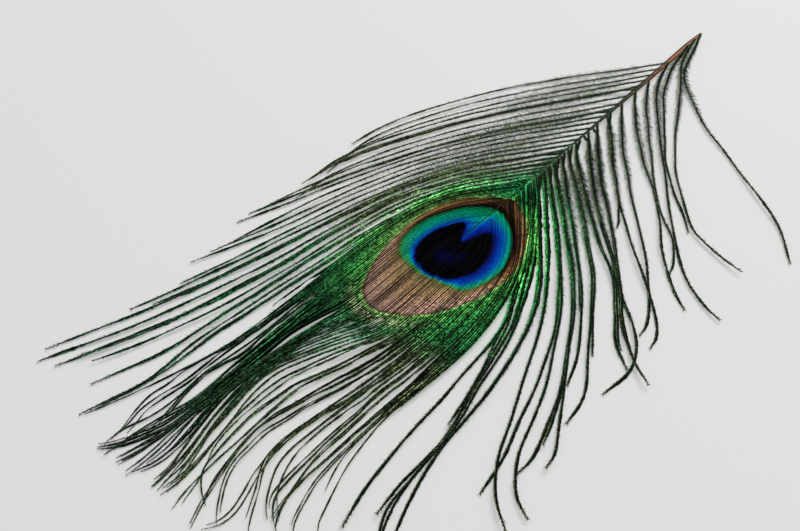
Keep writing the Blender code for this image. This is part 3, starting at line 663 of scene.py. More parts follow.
def make_piece(name, places, faces, attributes):
    """Points in mm, faces as rows of point numbers; each attribute has one number for each point."""
    mesh = bpy.data.meshes.new(name)
    corners = faces.shape[1]
    mesh.vertices.add(len(places))
    mesh.vertices.foreach_set("co", to_scene(places).ravel())
    mesh.loops.add(faces.size)
    mesh.loops.foreach_set("vertex_index", faces.astype(np.int32).ravel())
    mesh.polygons.add(len(faces))
    mesh.polygons.foreach_set("loop_start", np.arange(0, faces.size, corners, dtype=np.int32))
    mesh.polygons.foreach_set("use_smooth", np.ones(len(faces), dtype=bool))
    for label, numbers in attributes.items():
        layer = mesh.attributes.new(label, "FLOAT", "POINT")
        layer.data.foreach_set("value", np.asarray(numbers, dtype=np.float32).ravel())
    mesh.update(calc_edges=True)
    mesh.validate()
    piece = bpy.data.objects.new(name, mesh)
    bpy.context.scene.collection.objects.link(piece)
    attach(piece, "root")
    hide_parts("feather")
    print(f"{name}: {len(places)} points, {len(faces) * (corners - 2)} triangles")
    return piece


print("make_piece takes points in mm and hands them over in metres")

# %% Faces between rows of points


def grid_faces(count, rows, columns, closed=False):
    """Quads between neighbouring rows and columns of `count` separate grids of points."""
    across = columns if closed else columns - 1
    grid = np.arange(count)[:, None, None] * rows * columns
    row = np.arange(rows - 1)[None, :, None] * columns
    column = np.arange(across)[None, None, :]
    following = (column + 1) % columns
    corner = grid + row
    quads = np.stack([corner + column, corner + following, corner + columns + following,
                      corner + columns + column], axis=-1)
    return quads.reshape(-1, 4)


def end_faces(count, rows, columns):
    """Quads that close both ends of each tube: corner k of the end ring joins its neighbour k + 1 and the two
    that lie straight across, and the root's quads are turned round so that they face outwards."""
    start = np.arange(count)[:, None, None] * rows * columns
    k = np.arange(columns // 2 - 1)[None, :, None]
    strip = np.concatenate([k, k + 1, columns - 2 - k, columns - 1 - k], axis=2)
    root = start + strip[:, :, ::-1]
    tip = start + (rows - 1) * columns + strip
    return np.concatenate([root.reshape(-1, 4), tip.reshape(-1, 4)])


small_tube = (*grid_faces(1, 3, 4, closed=True), *end_faces(1, 3, 4))
print("a closed tube of 3 rings of 4 points has", len(small_tube), "faces")

# %% [markdown]
# ## Headings and sides of a barb
#
# Whatever hangs on a barb needs to know where the barb is going and which way is sideways. The heading is
# the difference between neighbouring points made one long, the side is the heading turned by a right angle
# in the plane of the table, and the up direction is the heading crossed with the side.

# %% Headings


def barb_frames(barbs):
    """Unit heading, unit side (to the barb's left, seen from above) and unit up for every point."""
    heading = np.gradient(barbs, axis=1)
    heading /= np.linalg.norm(heading, axis=2, keepdims=True)
    side = np.stack([-heading[:, :, 1], heading[:, :, 0], np.zeros(heading.shape[:2])], axis=2)
    side /= np.linalg.norm(side, axis=2, keepdims=True)
    return heading, side, np.cross(heading, side)


print("the first near barb sets out towards", np.round(barb_frames(near_barbs)[0][0, 0], 2))

# %% [markdown]
# ## Full and thin locks
#
# In the fringe some barbs keep all their barbules and others have lost most of them, and the photograph
# shows neighbours that share the same fate. So fullness is a table over a barb's place in the eye, and a
# second one for the outer part of the fringe. Everything on a barb follows it: the ramus, the blade and the
# loose barbules.

# %% Fullness
# How thickly the barbules stand on a strand of the fringe, by the barb's place in the eye: first where the
# vane opens, then in the outer part of the fringe.
FULLNESS = (
    (-22, 0.4), (-20.2, 0.3), (-19.9, 0.9), (-17.6, 0.9), (-17, 0.2), (-15.8, 0.2), (-15, 1), (-6.5, 1),
    (-5, 0.2), (-4, 0), (1, 0), (3, 0.3), (5, 0.5), (7, 0.5), (8, 0.8), (9.6, 0.8), (10.5, 1), (16.8, 1),
    (17.5, 0.4), (19.2, 0.4), (20, 1), (24, 1),
)
FULLNESS_LATER = (
    (-22, 0.3), (-20, 0.6), (-17.5, 0.6), (-17, 0.4), (-15, 0.6), (-7, 0.6), (-5, 0.9), (3, 0.9),
    (5, 0.5), (7, 0.6), (8, 0.8), (10.5, 0.8), (16.8, 0.7), (17.5, 0.4), (19.2, 0.4), (20, 0.7),
    (22, 0.4), (24, 0.2),
)
OUTER_PART = (190.0, 200.0)
# The tips are worn, and the wear starts further in on the near side: two places in the eye, and where along
# the shaft it starts for each of them.
WEAR_PLACES, WEAR_STARTS = (5.0, 7.0), (214.0, 200.0)
WEAR_LENGTH, WORN_AWAY = 16.0, 0.65


def fullness(places, along):
    """The first table's value at the opening, the second's past it, then a fall to a third at the tips."""
    later = smoothstep(*OUTER_PART, along)
    full = np.interp(places, *zip(*FULLNESS)) * (1 - later) + np.interp(places, *zip(*FULLNESS_LATER)) * later
    start = np.interp(places, WEAR_PLACES, WEAR_STARTS)
    return full * (1 - WORN_AWAY * smoothstep(start, start + WEAR_LENGTH, along))


print("fullness in the middle of the fringe:", np.round(fullness(np.array([-10.0, 0.0, 12.0]), 185.0), 2))

# %% [markdown]
# ## The ramus of each barb
#
# The stem of a barb is its ramus, a fine horny thread, here a fifth to half of a millimetre thick. It is
# made as a tapering tube with four sides: at this size more sides would not show. Both ends of a tube are
# drawn in to almost a point and closed by a face.

# %% Rings round a barb
RAMUS_SIDES = 4
RAMUS_TAPER = 0.7
TIP_THINS, TIP_THINNED = (0.95, 1.0), 0.7
END_RING = 0.15
# Growth from the bronze band outwards: parts of it, each with the ring numbers between which it comes.
GROWTH = ((0.6, 2.2, 2.5), (0.4, 2.95, 3.1))


def ramus_rings(barbs, radii, own, thicker, slim):
    """Points on rings round each barb: side x cos + up x sin, times a radius that shrinks to the tip, is each
    barb's own, grows by the share `thicker` from the bronze band outwards, and takes a factor `slim`."""
    _, side, up = barb_frames(barbs)
    share = np.linspace(0.0, 1.0, STATIONS)
    radius = radii[0] + (radii[1] - radii[0]) * share ** RAMUS_TAPER
    radius = radius * (1 - TIP_THINNED * smoothstep(*TIP_THINS, share))
    radius = radius * np.where((share == 0) | (share == 1), END_RING, 1.0)
    ring = ring_number(barbs)
    grown = sum(part * smoothstep(low, high, ring) for part, low, high in GROWTH)
    radius = radius[None, :] * own[:, None] * (1 + thicker * grown) * slim
    turns = 2 * np.pi * np.arange(RAMUS_SIDES) / RAMUS_SIDES
    around = (side[:, :, None, :] * np.cos(turns)[None, None, :, None]
              + up[:, :, None, :] * np.sin(turns)[None, None, :, None])
    return barbs[:, :, None, :] + around * radius[:, :, None, None]


print("each ramus has", STATIONS, "rings of", RAMUS_SIDES, "points")

# %% Make the rami
NEAR_RADII, FAR_RADII, EYE_RADII = (0.19, 0.15), (0.125, 0.10), (0.12, 0.105)
# Each barb's own share of the radius is drawn from these ranges.
NEAR_OWN, FAR_OWN, EYE_OWN = (0.85, 1.15), (0.8, 1.2), (0.4, 1.6)
EYE_THICKER = 0.35
THINNED, THINS = 0.55, (168.0, 178.0)
SIDE_RAISED, EYE_RAISED = [0.0, 0.0, 0.02], [0.0, 0.0, 0.05]


def make_rami(name, barbs, radii, own, thicker=0.0, slim=1.0):
    """One piece with the closed tubes of a whole set of barbs; own is each barb's share of the radius."""
    points = ramus_rings(barbs, radii, own, thicker, slim)
    faces = np.concatenate([grid_faces(len(barbs), STATIONS, RAMUS_SIDES, closed=True),
                            end_faces(len(barbs), STATIONS, RAMUS_SIDES)])
    ring = np.repeat(ring_number(barbs)[:, :, None], RAMUS_SIDES, axis=2)
    return make_piece(name, points.reshape(-1, 3), faces, {"ring": ring, "along_mm": points[..., 0]})


near_own = chance(35).uniform(*NEAR_OWN, len(near_barbs))
far_own = chance(36).uniform(*FAR_OWN, len(far_barbs))
eye_own = chance(37).uniform(*EYE_OWN, len(eye_barbs))
past_vane = smoothstep(*THINS, eye_barbs[:, :, 0])
eye_slim = 1 - THINNED * past_vane * (1 - fullness(eye_places[:, None], eye_barbs[:, :, 0]))
rami = [
    make_rami("rami_near", near_barbs + SIDE_RAISED, NEAR_RADII, near_own),
    make_rami("rami_far", far_barbs + SIDE_RAISED, FAR_RADII, far_own),
    make_rami("rami_eye", eye_barbs + EYE_RAISED, EYE_RADII, eye_own, EYE_THICKER, eye_slim),
]

# %% [markdown]
# ## The blade of each barb
#
# Barbules grow so close together on both sides of a ramus that they read as one narrow blade. Round the eye
# each blade reaches just past the next barb, so the vane is closed there, and the outer edge of one lies on
# its neighbour's inner edge like a roof tile. Further out the blade is narrower than the gap and rolls a
# little about its ramus. It is made as a ribbon, five points across, with its width given at every station.

# %% Make a set of blades
BLADE_ACROSS = 5
BLADE_LOWEST = 0.10
# Barbules slant forward, so an edge takes its colour from further back: this share of its distance sideways.
SLANT = 0.8
# Each barb changes its colours a little sooner or later than the next one, by this spread in mm.
BAND_SPREAD = 0.22


def resample(barbs, rows, denser=1.0):
    """Each barb read off at `rows` stations instead of its own; its first half gets `denser` times as many
    of them as its second."""
    at = np.interp(np.linspace(0.0, 1.0, rows), [0.0, denser / (1 + denser), 1.0], [0.0, 0.5, 1.0])
    at = at * (barbs.shape[1] - 1)
    low = np.minimum(at.astype(int), barbs.shape[1] - 2)
    part = (at - low)[None, :, None]
    return barbs[:, low] * (1 - part) + barbs[:, low + 1] * part


def make_blades(name, lines, half, outer_side, edge_lift, ridge, roll, rng):
    """Point = ramus + half width v (side cos r + up sin r) + up (edge lift v - ridge |v|), for v from -1 on
    the inner edge to 1 on the outer one and r the roll. Where the outer edge lies to the left, the faces are
    turned round, so that all of them look up."""
    _, side, up = barb_frames(lines)
    outward = side * outer_side[:, None, None]
    v = np.linspace(-1.0, 1.0, BLADE_ACROSS)
    across = outward * np.cos(roll)[..., None] + up * np.sin(roll)[..., None]
    lift = edge_lift[..., None] * v - ridge[..., None] * np.abs(v)
    points = (lines[:, :, None, :] + across[:, :, None, :] * (half[..., None] * v)[..., None]
              + up[:, :, None, :] * lift[..., None])
    points[..., 2] = np.maximum(points[..., 2], BLADE_LOWEST)
    behind = SLANT * half[..., None] * np.abs(v)
    jitter = rng.normal(0.0, BAND_SPREAD, (len(lines), 1, 1))
    attributes = {
        "ring": ring_number(points, behind + jitter),
        "along_mm": points[..., 0],
        "barbule_mm": barb_lengths(lines)[..., None] - behind,
        "blade_side": np.broadcast_to(v, points.shape[:-1]),
        "tone": np.broadcast_to(rng.random((len(lines), 1, 1)), points.shape[:-1]),
    }
    faces = grid_faces(len(lines), lines.shape[1], BLADE_ACROSS).reshape(len(lines), -1, 4)
    turned = outer_side > 0
    faces[turned] = faces[turned][:, :, ::-1]
    return make_piece(name, points.reshape(-1, 3), faces.reshape(-1, 4), attributes)


print("blades are", BLADE_ACROSS, "points wide")

# %% [markdown]
# ## Blades of the eye
#
# In the closed vane a blade is 1.6 times as wide as the distance to the next barb, so that it covers the
# gap from any side. A table says, barb by barb, where the vane opens. From there on the blade narrows to a
# strand, the wider the fuller its lock is, and it rolls about its ramus as loose barbs do.

# %% Blades of the eye
EYE_ROWS, EYE_DENSER = 210, 2.0
TILE_OVERLAP, WIDEST_GAP = 1.6, 0.95
TILE_LIFT = 0.07
TILE_RIDGE, STRAND_RIDGE = 0.10, 0.02
STRAND_HALF, STRAND_EXTRA = 0.18, 0.17
STRAND_UNEVEN = (0.8, 1.2)
OUTER_THINNER, END_THINNER, END_THINS = 0.2, 0.8, (0.96, 1.0)
STRAND_ROLL, ROLL_WAVES = 1.1, 11.0
OPENING_LENGTH, OPENING_SPREAD = 6.0, 2.8
# Where along the shaft each barb's blade starts to narrow, by the barb's place in the eye.
OPENS = (
    (-22, 168), (-20.2, 168), (-19.9, 178), (-17.6, 178), (-17, 172), (-15.8, 174), (-15, 196), (-9, 204),
    (-7.5, 196), (-6, 191), (-4, 177), (0, 173), (4, 175), (6, 177), (7.2, 176), (8, 175), (9.3, 174),
    (10.2, 174), (10.9, 178), (14, 180), (16.6, 176), (17.5, 174), (19.2, 172), (20, 178), (21.5, 192),
    (24, 190),
)


def eye_spacing(places, along):
    """Distance between neighbouring barbs, square to them: the change of across with place, times the
    cosine of the heading."""
    half = 0.5 * EYE_SPACING
    outer = np.sign(places) * (np.abs(places) + half)
    gap = 2 * np.abs(eye_across(outer[:, None], along) - eye_across(places[:, None], along))
    slope = np.gradient(eye_across(places[:, None], along), axis=1) / np.gradient(along, axis=1)
    return gap / np.sqrt(1 + slope ** 2)


def eye_blades(rng):
    """Half width = half the tile's width x (1 - o) + the strand's x o, with o a smoothstep from where the
    barb's blade opens. Also gives those places, because the loose barbules start there."""
    lines = resample(eye_barbs, EYE_ROWS, denser=EYE_DENSER)
    along = lines[:, :, 0]
    ends = np.interp(eye_places, *zip(*OPENS)) + rng.normal(0.0, OPENING_SPREAD, len(eye_places))
    open_share = smoothstep(ends[:, None], ends[:, None] + OPENING_LENGTH, along)
    tiled = 0.5 * TILE_OVERLAP * np.minimum(eye_spacing(eye_places, along), WIDEST_GAP)
    share = barb_lengths(lines) / barb_lengths(lines)[:, -1:]
    strand = STRAND_HALF + STRAND_EXTRA * fullness(eye_places[:, None], along)
    strand = strand * (1 - OUTER_THINNER * smoothstep(*FRINGE_END, along))
    strand = strand * (1 - END_THINNER * smoothstep(*END_THINS, share))
    strand = strand * rng.uniform(*STRAND_UNEVEN, strand.shape)
    half = tiled * (1 - open_share) + strand * open_share
    lift = TILE_LIFT * (1 - open_share)
    roll = STRAND_ROLL * wander(along.shape, ROLL_WAVES, rng) * open_share
    ridge = TILE_RIDGE + STRAND_RIDGE * open_share
    return make_blades("eye_vane", lines, half, np.sign(eye_places), lift, ridge, roll, rng), ends


eye_vane, eye_ends = eye_blades(chance(41))

# %% [markdown]
# ## Blades of the side barbs
#
# The barbs below the eye stand apart, so their blades don't close. A blade is widest beside the shaft and
# beside the eye, thinner in its middle and a little wider towards the tip. Its two halves fall away from the
# ramus like a roof, one half in the light and the other in shade. The far barbs are flatter and lie closer.

# %% Blades of the side barbs
SIDE_ROWS = 150
SIDE_HALF = 0.43
CROWDED_WIDER, CROWDED_ROOTS = 0.12, (90.0, 106.0)
MIDDLE_THINNER, MIDDLE_STARTS = 0.12, (0.10, 0.35)
OUTER_WIDER, OUTER_STARTS = 0.08, (0.6, 0.9)
# Barbs that leave the shaft last lie so close that their outer parts are slimmer.
LATE_ROOTS, LATE_SLIMMER, LATE_SLIMS = (93.0, 101.0), 0.3, (0.3, 0.5)
# The extra width beside the shaft and beside the eye: for which roots, and where on the barb it ends.
ROOTED_FROM, ROOTED_ENDS = (82.0, 98.0), (3.0, 9.0)
BESIDE_FROM, BESIDE_ENDS = (94.0, 101.0), (0.35, 0.6)
NARROW_ROOT, ROOT_WIDENS = 0.75, (0.0, 2.0)
SIDE_OWN, SIDE_UNEVEN = (0.9, 1.1), (0.75, 1.2)
SIDE_END_THINNER, SIDE_END_THINS = 0.85, (0.955, 1.0)
SIDE_EDGE_LIFT = 0.05
SIDE_ROLL, SIDE_ROLL_WAVES, SIDE_ROLL_GROWS = 0.5, 5.0, (0.1, 0.4)
FAR_SIZE, FAR_WIDER, FAR_WIDENS = 1.05, 0.15, (70.0, 90.0)


def side_half(lines, size, root_width, rng):
    """size x (0.43 + crowded - middle + outer) x slim + the extra width at the root, narrowed at both ends
    and made uneven barb by barb and point by point."""
    share = np.linspace(0.0, 1.0, lines.shape[1])[None, :]
    travelled = barb_lengths(lines)
    root = lines[:, :1, 0]
    half = SIDE_HALF + CROWDED_WIDER * smoothstep(*CROWDED_ROOTS, root)
    half = half - MIDDLE_THINNER * smoothstep(*MIDDLE_STARTS, share)
    half = half + OUTER_WIDER * smoothstep(*OUTER_STARTS, share)
    slim = 1 - LATE_SLIMMER * smoothstep(*LATE_ROOTS, root) * smoothstep(*LATE_SLIMS, share)
    rooted = smoothstep(*ROOTED_FROM, root) * (1 - smoothstep(*ROOTED_ENDS, travelled))
    beside = smoothstep(*BESIDE_FROM, root) * (1 - smoothstep(*BESIDE_ENDS, share))
    half = size * half * slim + root_width * np.maximum(rooted, beside)
    half = half * (NARROW_ROOT + (1 - NARROW_ROOT) * smoothstep(*ROOT_WIDENS, travelled))
    half = half * rng.uniform(*SIDE_OWN, (len(lines), 1))
    half = half * (1 - SIDE_END_THINNER * smoothstep(*SIDE_END_THINS, share))
    return half * rng.uniform(*SIDE_UNEVEN, half.shape)


def side_blades(name, barbs, hand, size, root_width, ridge, rng):
    """Blades that are low roofs, whose ridge is the given share of the half width, and that roll slowly."""
    lines = resample(barbs, SIDE_ROWS)
    half = side_half(lines, size, root_width, rng)
    share = np.linspace(0.0, 1.0, SIDE_ROWS)[None, :]
    roll = SIDE_ROLL * wander(half.shape, SIDE_ROLL_WAVES, rng) * smoothstep(*SIDE_ROLL_GROWS, share)
    outer_side = np.full(len(lines), hand)
    return make_blades(name, lines, half, outer_side, SIDE_EDGE_LIFT * half, ridge * half, roll, rng)


# The far blades grow wider from the cut end towards the eye.
far_size = FAR_SIZE + FAR_WIDER * smoothstep(*FAR_WIDENS, far_barbs[:, :1, 0])
near_vane = side_blades("vane_near", near_barbs, -1.0, 1.0, 0.28, 0.55, chance(42))
far_vane = side_blades("vane_far", far_barbs, 1.0, far_size, 0.1, 0.3, chance(43))

# %% [markdown]
# ## The loose barbules
#
# Where the vane is open, single barbules stand off the ramus like the side hairs of a bottle brush, about a
# millimetre long and leaning forward. There are over a hundred thousand, so each is only three triangles: a
# blade that bends forward and narrows to its tip. All of them are worked out at once from one list of
# places.

# %% Places along the barbs


def along_barbs(barbs, pitch, rng):
    """Barb numbers and shares along them, one entry every `pitch` mm, a little uneven."""
    counts = np.maximum((barb_lengths(barbs)[:, -1] / pitch).astype(int), 2)
    which = np.repeat(np.arange(len(barbs)), counts)
    first = np.concatenate([[0], np.cumsum(counts)[:-1]])
    step = np.arange(len(which)) - first[which]
    share = (step + rng.uniform(-0.4, 0.4, len(which)) + 0.5) / counts[which]
    return which, np.clip(share, 0.0, 0.999)


def at_share(values, which, share):
    """Values of the barbs' rows at a share of their length, between the two nearest stations."""
    position = share * (STATIONS - 1)
    low = position.astype(int)
    part = (position - low)[:, None]
    return values[which, low] * (1 - part) + values[which, np.minimum(low + 1, STATIONS - 1)] * part


print("the longest barb of the near side runs", barb_lengths(near_barbs)[:, -1].max().round(), "mm")

# %% Grow barbules on one hand of the barbs
# Real barbules stand 0.05 mm apart, too fine for the picture: here each tuft of this length has its own
# brightness and length, so that bristles show.
TUFT_LENGTH = 0.5
TUFT_SHORTEST, TUFT_GAIN = 0.75, 0.5
LEAN_SPREAD = 0.18
TILT, TILT_SPREAD, TILT_RANGE = 0.05, 0.25, (-0.4, 0.5)
# Past its middle a barbule leans and rises less.
LEAN_KEPT, TILT_LOST = 0.6, 0.15
FIRST_PART, SECOND_PART = 0.55, 0.5
MIDDLE_WIDTH = 0.85
BARBULE_LOWEST = 0.12
LIT_TONE, TUFT_TONE, OWN_TONE = 0.35, 0.45, 0.15


def grow_barbules(barbs, hand, profile, pitch, rng):
    """Root on the ramus; middle = root + 0.55 of the length outwards; tip = middle + half the length, leaning
    further forward. The profile gives length, half width, lean and whether there is one at all. A lot drawn
    once for each tuft makes it longer and brighter in tone, and the hand that faces the lamp gets painted
    light: a higher tone."""
    which, share = along_barbs(barbs, pitch, rng)
    root = at_share(barbs, which, share)
    length, width, lean, there = profile(which, share, root, rng)
    tuft = (share * barb_lengths(barbs)[which, -1] / TUFT_LENGTH).astype(int)
    lot = rng.random((len(barbs), tuft.max() + 1))[which, tuft][there]
    ahead, aside, above = (at_share(v, which, share)[there] for v in barb_frames(barbs))
    root, width, lean = root[there], width[there, None], lean[there, None]
    length = (length[there] * (TUFT_SHORTEST + TUFT_GAIN * lot))[:, None]
    lean = lean * rng.normal(1.0, LEAN_SPREAD, lean.shape)
    later = lean * LEAN_KEPT
    tilt = np.clip(rng.normal(TILT, TILT_SPREAD, lean.shape), *TILT_RANGE)
    outward = aside * hand * np.sin(lean) + ahead * np.cos(lean) + above * tilt
    onward = aside * hand * np.sin(later) + ahead * np.cos(later) + above * (tilt - TILT_LOST)
    middle = root + outward * FIRST_PART * length
    tip = middle + onward * SECOND_PART * length
    wide = ahead * width
    narrow = wide * MIDDLE_WIDTH
    points = np.stack([root - wide, root + wide, middle - narrow, middle + narrow, tip], axis=1)
    points[:, :, 2] = np.maximum(points[:, :, 2], BARBULE_LOWEST)
    # The hand that faces the lamp gets painted light: its tone is raised.
    lit = LIT_TONE if hand * np.sign(root[0, 1]) < 0 else 0.0
    tone = lit + TUFT_TONE * lot + OWN_TONE * rng.random(len(root))
    return points, root, tone, np.full(len(root), hand)


print("a tuft is", TUFT_LENGTH, "mm long")

# %% Join both hands into a piece
BARBULE_FACES = np.array([[0, 1, 3], [0, 3, 2], [2, 3, 4]])


def make_barbules(name, barbs, profile, pitch, rng):
    """Three triangles for each barbule; those of one hand are turned round, so that all of them look up."""
    both = [grow_barbules(barbs, hand, profile, pitch, rng) for hand in (-1.0, 1.0)]
    points, root, tone, hand = (np.concatenate(parts) for parts in zip(*both))
    corners = points.shape[1]
    faces = (np.arange(len(points))[:, None, None] * corners + BARBULE_FACES).reshape(-1, 3)
    flipped = np.repeat(hand < 0, len(BARBULE_FACES))
    faces[flipped] = faces[flipped][:, ::-1]
    # The tone carries each tuft's own lot and the painted light of the hand that faces the lamp.
    attributes = {"ring": ring_number(root), "tone": tone, "along_mm": root[:, 0]}
    attributes = {label: np.repeat(numbers, corners) for label, numbers in attributes.items()}
    return make_piece(name, points.reshape(-1, 3), faces, attributes)


print("each barbule has", len(BARBULE_FACES), "faces")

# %% [markdown]
# ## Where the barbules are long
#
# Beside the shaft barbules stand dense and short, along the middle of a barb they are longest and
# hair-thin, and near its tip they are short again. Close to the closed eye they are short and lie along
# their barb, as in the vane itself. In the fringe they are short where a lock has lost most of them, and
# longer in a full one. So two small functions, one for the sides and one for the fringe, say it for all
# barbules at once.

# %% Profiles and the three pieces
SIDE_LENGTH, HAIRY_LONGER, OUTER_SHORTER = 0.95, 1.2, 0.15
HAIRY_FROM, HAIRY_TO, OUTER_FROM = (0.03, 0.16), (0.28, 0.55), (0.5, 0.95)
SIDE_LENGTHS, FAR_SHORTER = (0.7, 1.15), 0.9
SIDE_WIDTH, HAIRY_THINNER = 0.105, 0.01
ROOT_LEAN, LEAN_LOST = 50.0, 12.0
# Beside the closed eye length and lean keep this share, and they grow to all of it between these ring
# numbers.
EYE_SHARE, LOOSE_RINGS = 0.4, (3.1, 3.45)
MISSING = 0.08
FRINGE_LENGTH, FULL_LONGER, FRINGE_LENGTHS = 0.34, 0.6, (0.5, 1.2)
FRINGE_WIDTH, FRINGE_LEAN, OPENS_BY = 0.085, 24.0, (-3, 5)
NEAR_PITCH, FAR_PITCH, FRINGE_PITCH = 0.14, 0.19, 0.26
FRINGE_RAISED = [0.0, 0.0, 0.12]


def side_profile(which, share, root, rng):
    """Length = (0.95 + 1.2 where hairy - 0.15 in the outer part) x chance x the eye's share; the half width
    shrinks where hairy, and the lean falls from 50 degrees by 12 along the barb."""
    hairy = smoothstep(*HAIRY_FROM, share)
    loose = EYE_SHARE + (1 - EYE_SHARE) * smoothstep(*LOOSE_RINGS, ring_number(root))
    length = SIDE_LENGTH + HAIRY_LONGER * hairy * (1 - smoothstep(*HAIRY_TO, share))
    length = length - OUTER_SHORTER * smoothstep(*OUTER_FROM, share)
    length = length * rng.uniform(*SIDE_LENGTHS, len(share)) * np.where(root[:, 1] > 0, 1.0, FAR_SHORTER)
    lean = np.radians(ROOT_LEAN - LEAN_LOST * share) * loose
    return length * loose, SIDE_WIDTH - HAIRY_THINNER * hairy, lean, rng.random(len(share)) > MISSING


def eye_profile(which, share, root, rng):
    """None over the closed vane; in the fringe long where the locks are full, and short elsewhere."""
    along = root[:, 0]
    length = FRINGE_LENGTH + FULL_LONGER * fullness(eye_places[which], along)
    length = length * rng.uniform(*FRINGE_LENGTHS, len(share))
    width = np.full(len(share), FRINGE_WIDTH)
    past = along > eye_ends[which] + rng.uniform(*OPENS_BY, len(share))
    return length, width, np.radians(np.full(len(share), FRINGE_LEAN)), past


barbules = [
    make_barbules("barbules_near", near_barbs, side_profile, NEAR_PITCH, chance(51)),
    make_barbules("barbules_far", far_barbs, side_profile, FAR_PITCH, chance(52)),
    make_barbules("barbules_fringe", eye_barbs + FRINGE_RAISED, eye_profile, FRINGE_PITCH, chance(53)),
]

# %% [markdown]
# ## The shaft
#
# The shaft is a horny tube that tapers all the way from the cut end until it dissolves in the middle of the
# eye. It is a circle carried along a straight path, with a radius that shrinks. The scissors left a slanting
# cut, so near the end no point may stand higher than a slanting plane.

# %% Make the shaft
SHAFT_ROWS, SHAFT_SIDES = 140, 14
# More rings near the cut than at the eye: their places are even steps to this power.
ROWS_POWER = 1.3
CUT_LENGTH, CUT_EDGE = 2.2, 0.6
# Shares of the radius: at the cut, added over the first stretch, and then lost in the middle and at the end.
CUT_SHARE, SWELL, SWELLS = 0.40, 0.46, (0.0, 12.0)
SLIMMER, SLIMS = 0.35, (45.0, 85.0)
END_SLIMMER, END_LENGTH = 0.6, 6.0


def make_shaft():
    """Point = middle + radius (side cos a + up sin a), with height kept under a plane that rises from the
    bottom of the cut end to the top of the shaft over the cut's length."""
    along = np.linspace(0.0, 1.0, SHAFT_ROWS) ** ROWS_POWER * SHAFT_LENGTH
    radius = shaft_radius(along) * (CUT_SHARE + SWELL * smoothstep(*SWELLS, along))
    radius = radius * (1 - SLIMMER * smoothstep(*SLIMS, along))
    radius = radius * (1 - END_SLIMMER * smoothstep(SHAFT_LENGTH - END_LENGTH, SHAFT_LENGTH, along))
    middle = shaft_middle(along)
    turns = 2 * np.pi * np.arange(SHAFT_SIDES) / SHAFT_SIDES
    across = radius[:, None] * np.cos(turns)
    up = middle[:, None] + radius[:, None] * np.sin(turns)
    ceiling = middle - radius + 2 * radius * np.clip((along + CUT_EDGE) / CUT_LENGTH, 0.0, 1.0)
    up = np.minimum(up, ceiling[:, None])
    points = np.stack([np.broadcast_to(along[:, None], up.shape), across, up], axis=2)
    faces = np.concatenate([grid_faces(1, SHAFT_ROWS, SHAFT_SIDES, closed=True),
                            end_faces(1, SHAFT_ROWS, SHAFT_SIDES)])
    attributes = {"along_mm": points[..., 0], "round": np.broadcast_to(np.cos(turns), up.shape)}
    return make_piece("shaft", points.reshape(-1, 3), faces, attributes)


shaft = make_shaft()

# %% [markdown]
# ## Colours and nodes
#
# Colours are written the way a picture editor shows them, as sRGB hex codes, and turned to the linear
# numbers that the renderer adds and multiplies. Materials are small graphs, so one helper adds any node,
# sets its properties and fills or links its sockets. Clicking the same graph together by hand would take an
# hour and could not be read here.

# %% Helpers for materials


def linear(code):
    """sRGB to linear: c / 12.92 up to 0.04045, and ((c + 0.055) / 1.055)^2.4 above."""
    c = np.array([int(code[i:i + 2], 16) for i in (1, 3, 5)]) / 255
    return (*(float(v) for v in np.where(c <= 0.04045, c / 12.92, ((c + 0.055) / 1.055) ** 2.4)), 1.0)


def add_node(material, kind, inputs=None, stops=None, **settings):
    """Adds a node with its settings. An input is a value, an output that is linked to it, or a node, which is
    linked by its first output. The stops are a colour ramp's (place, hex colour) pairs."""
    node = material.node_tree.nodes.new(kind)
    for name, value in settings.items():
        setattr(node, name, value)
    for name, value in (inputs or {}).items():
        if isinstance(value, bpy.types.Node):
            value = value.outputs[0]
        if isinstance(value, bpy.types.NodeSocket):
            material.node_tree.links.new(value, node.inputs[name])
        else:
            node.inputs[name].default_value = value
    if stops:
        elements = node.color_ramp.elements
        while len(elements) < len(stops):
            elements.new(1.0)
        for element, (place, code) in zip(elements, stops):
            element.position = place
            element.color = linear(code)
    return node


def new_material(name):
    """An empty graph, so that every node in it is one that is added below."""
    material = bpy.data.materials.new(name)
    material.use_nodes = True
    material.node_tree.nodes.clear()
    return material


def finish_material(material, shader):
    """Links the shader to the surface and reports the material."""
    add_node(material, "ShaderNodeOutputMaterial", {"Surface": shader.outputs["BSDF"]})
    print("material:", material.name, "with", len(material.node_tree.nodes), "nodes")
    return material


# Keratin, the stuff of feathers and fingernails, bends light a little more than window glass does.
KERATIN_IOR = 1.56
print("helpers ready")

# %% [markdown]
# ## The structural colour of the vane
#
# Peacock barbules are keratin over a lattice of melanin rods. The lattice reflects one narrow band of
# light, so the colour is pure and shiny like that of a metal, and it lies on black. The colours follow each
# other in a fixed order from the pupil outwards, so they are one ramp over the ring number. On the flanks
# of the eye the bronze is brown and the blue deep, and at its tip the bronze is pale and pinkish, so there
# are two ramps, and a point is blended from one to the other by its place along the shaft.

# %% Colours over the rings
RING_SPAN = 5.0
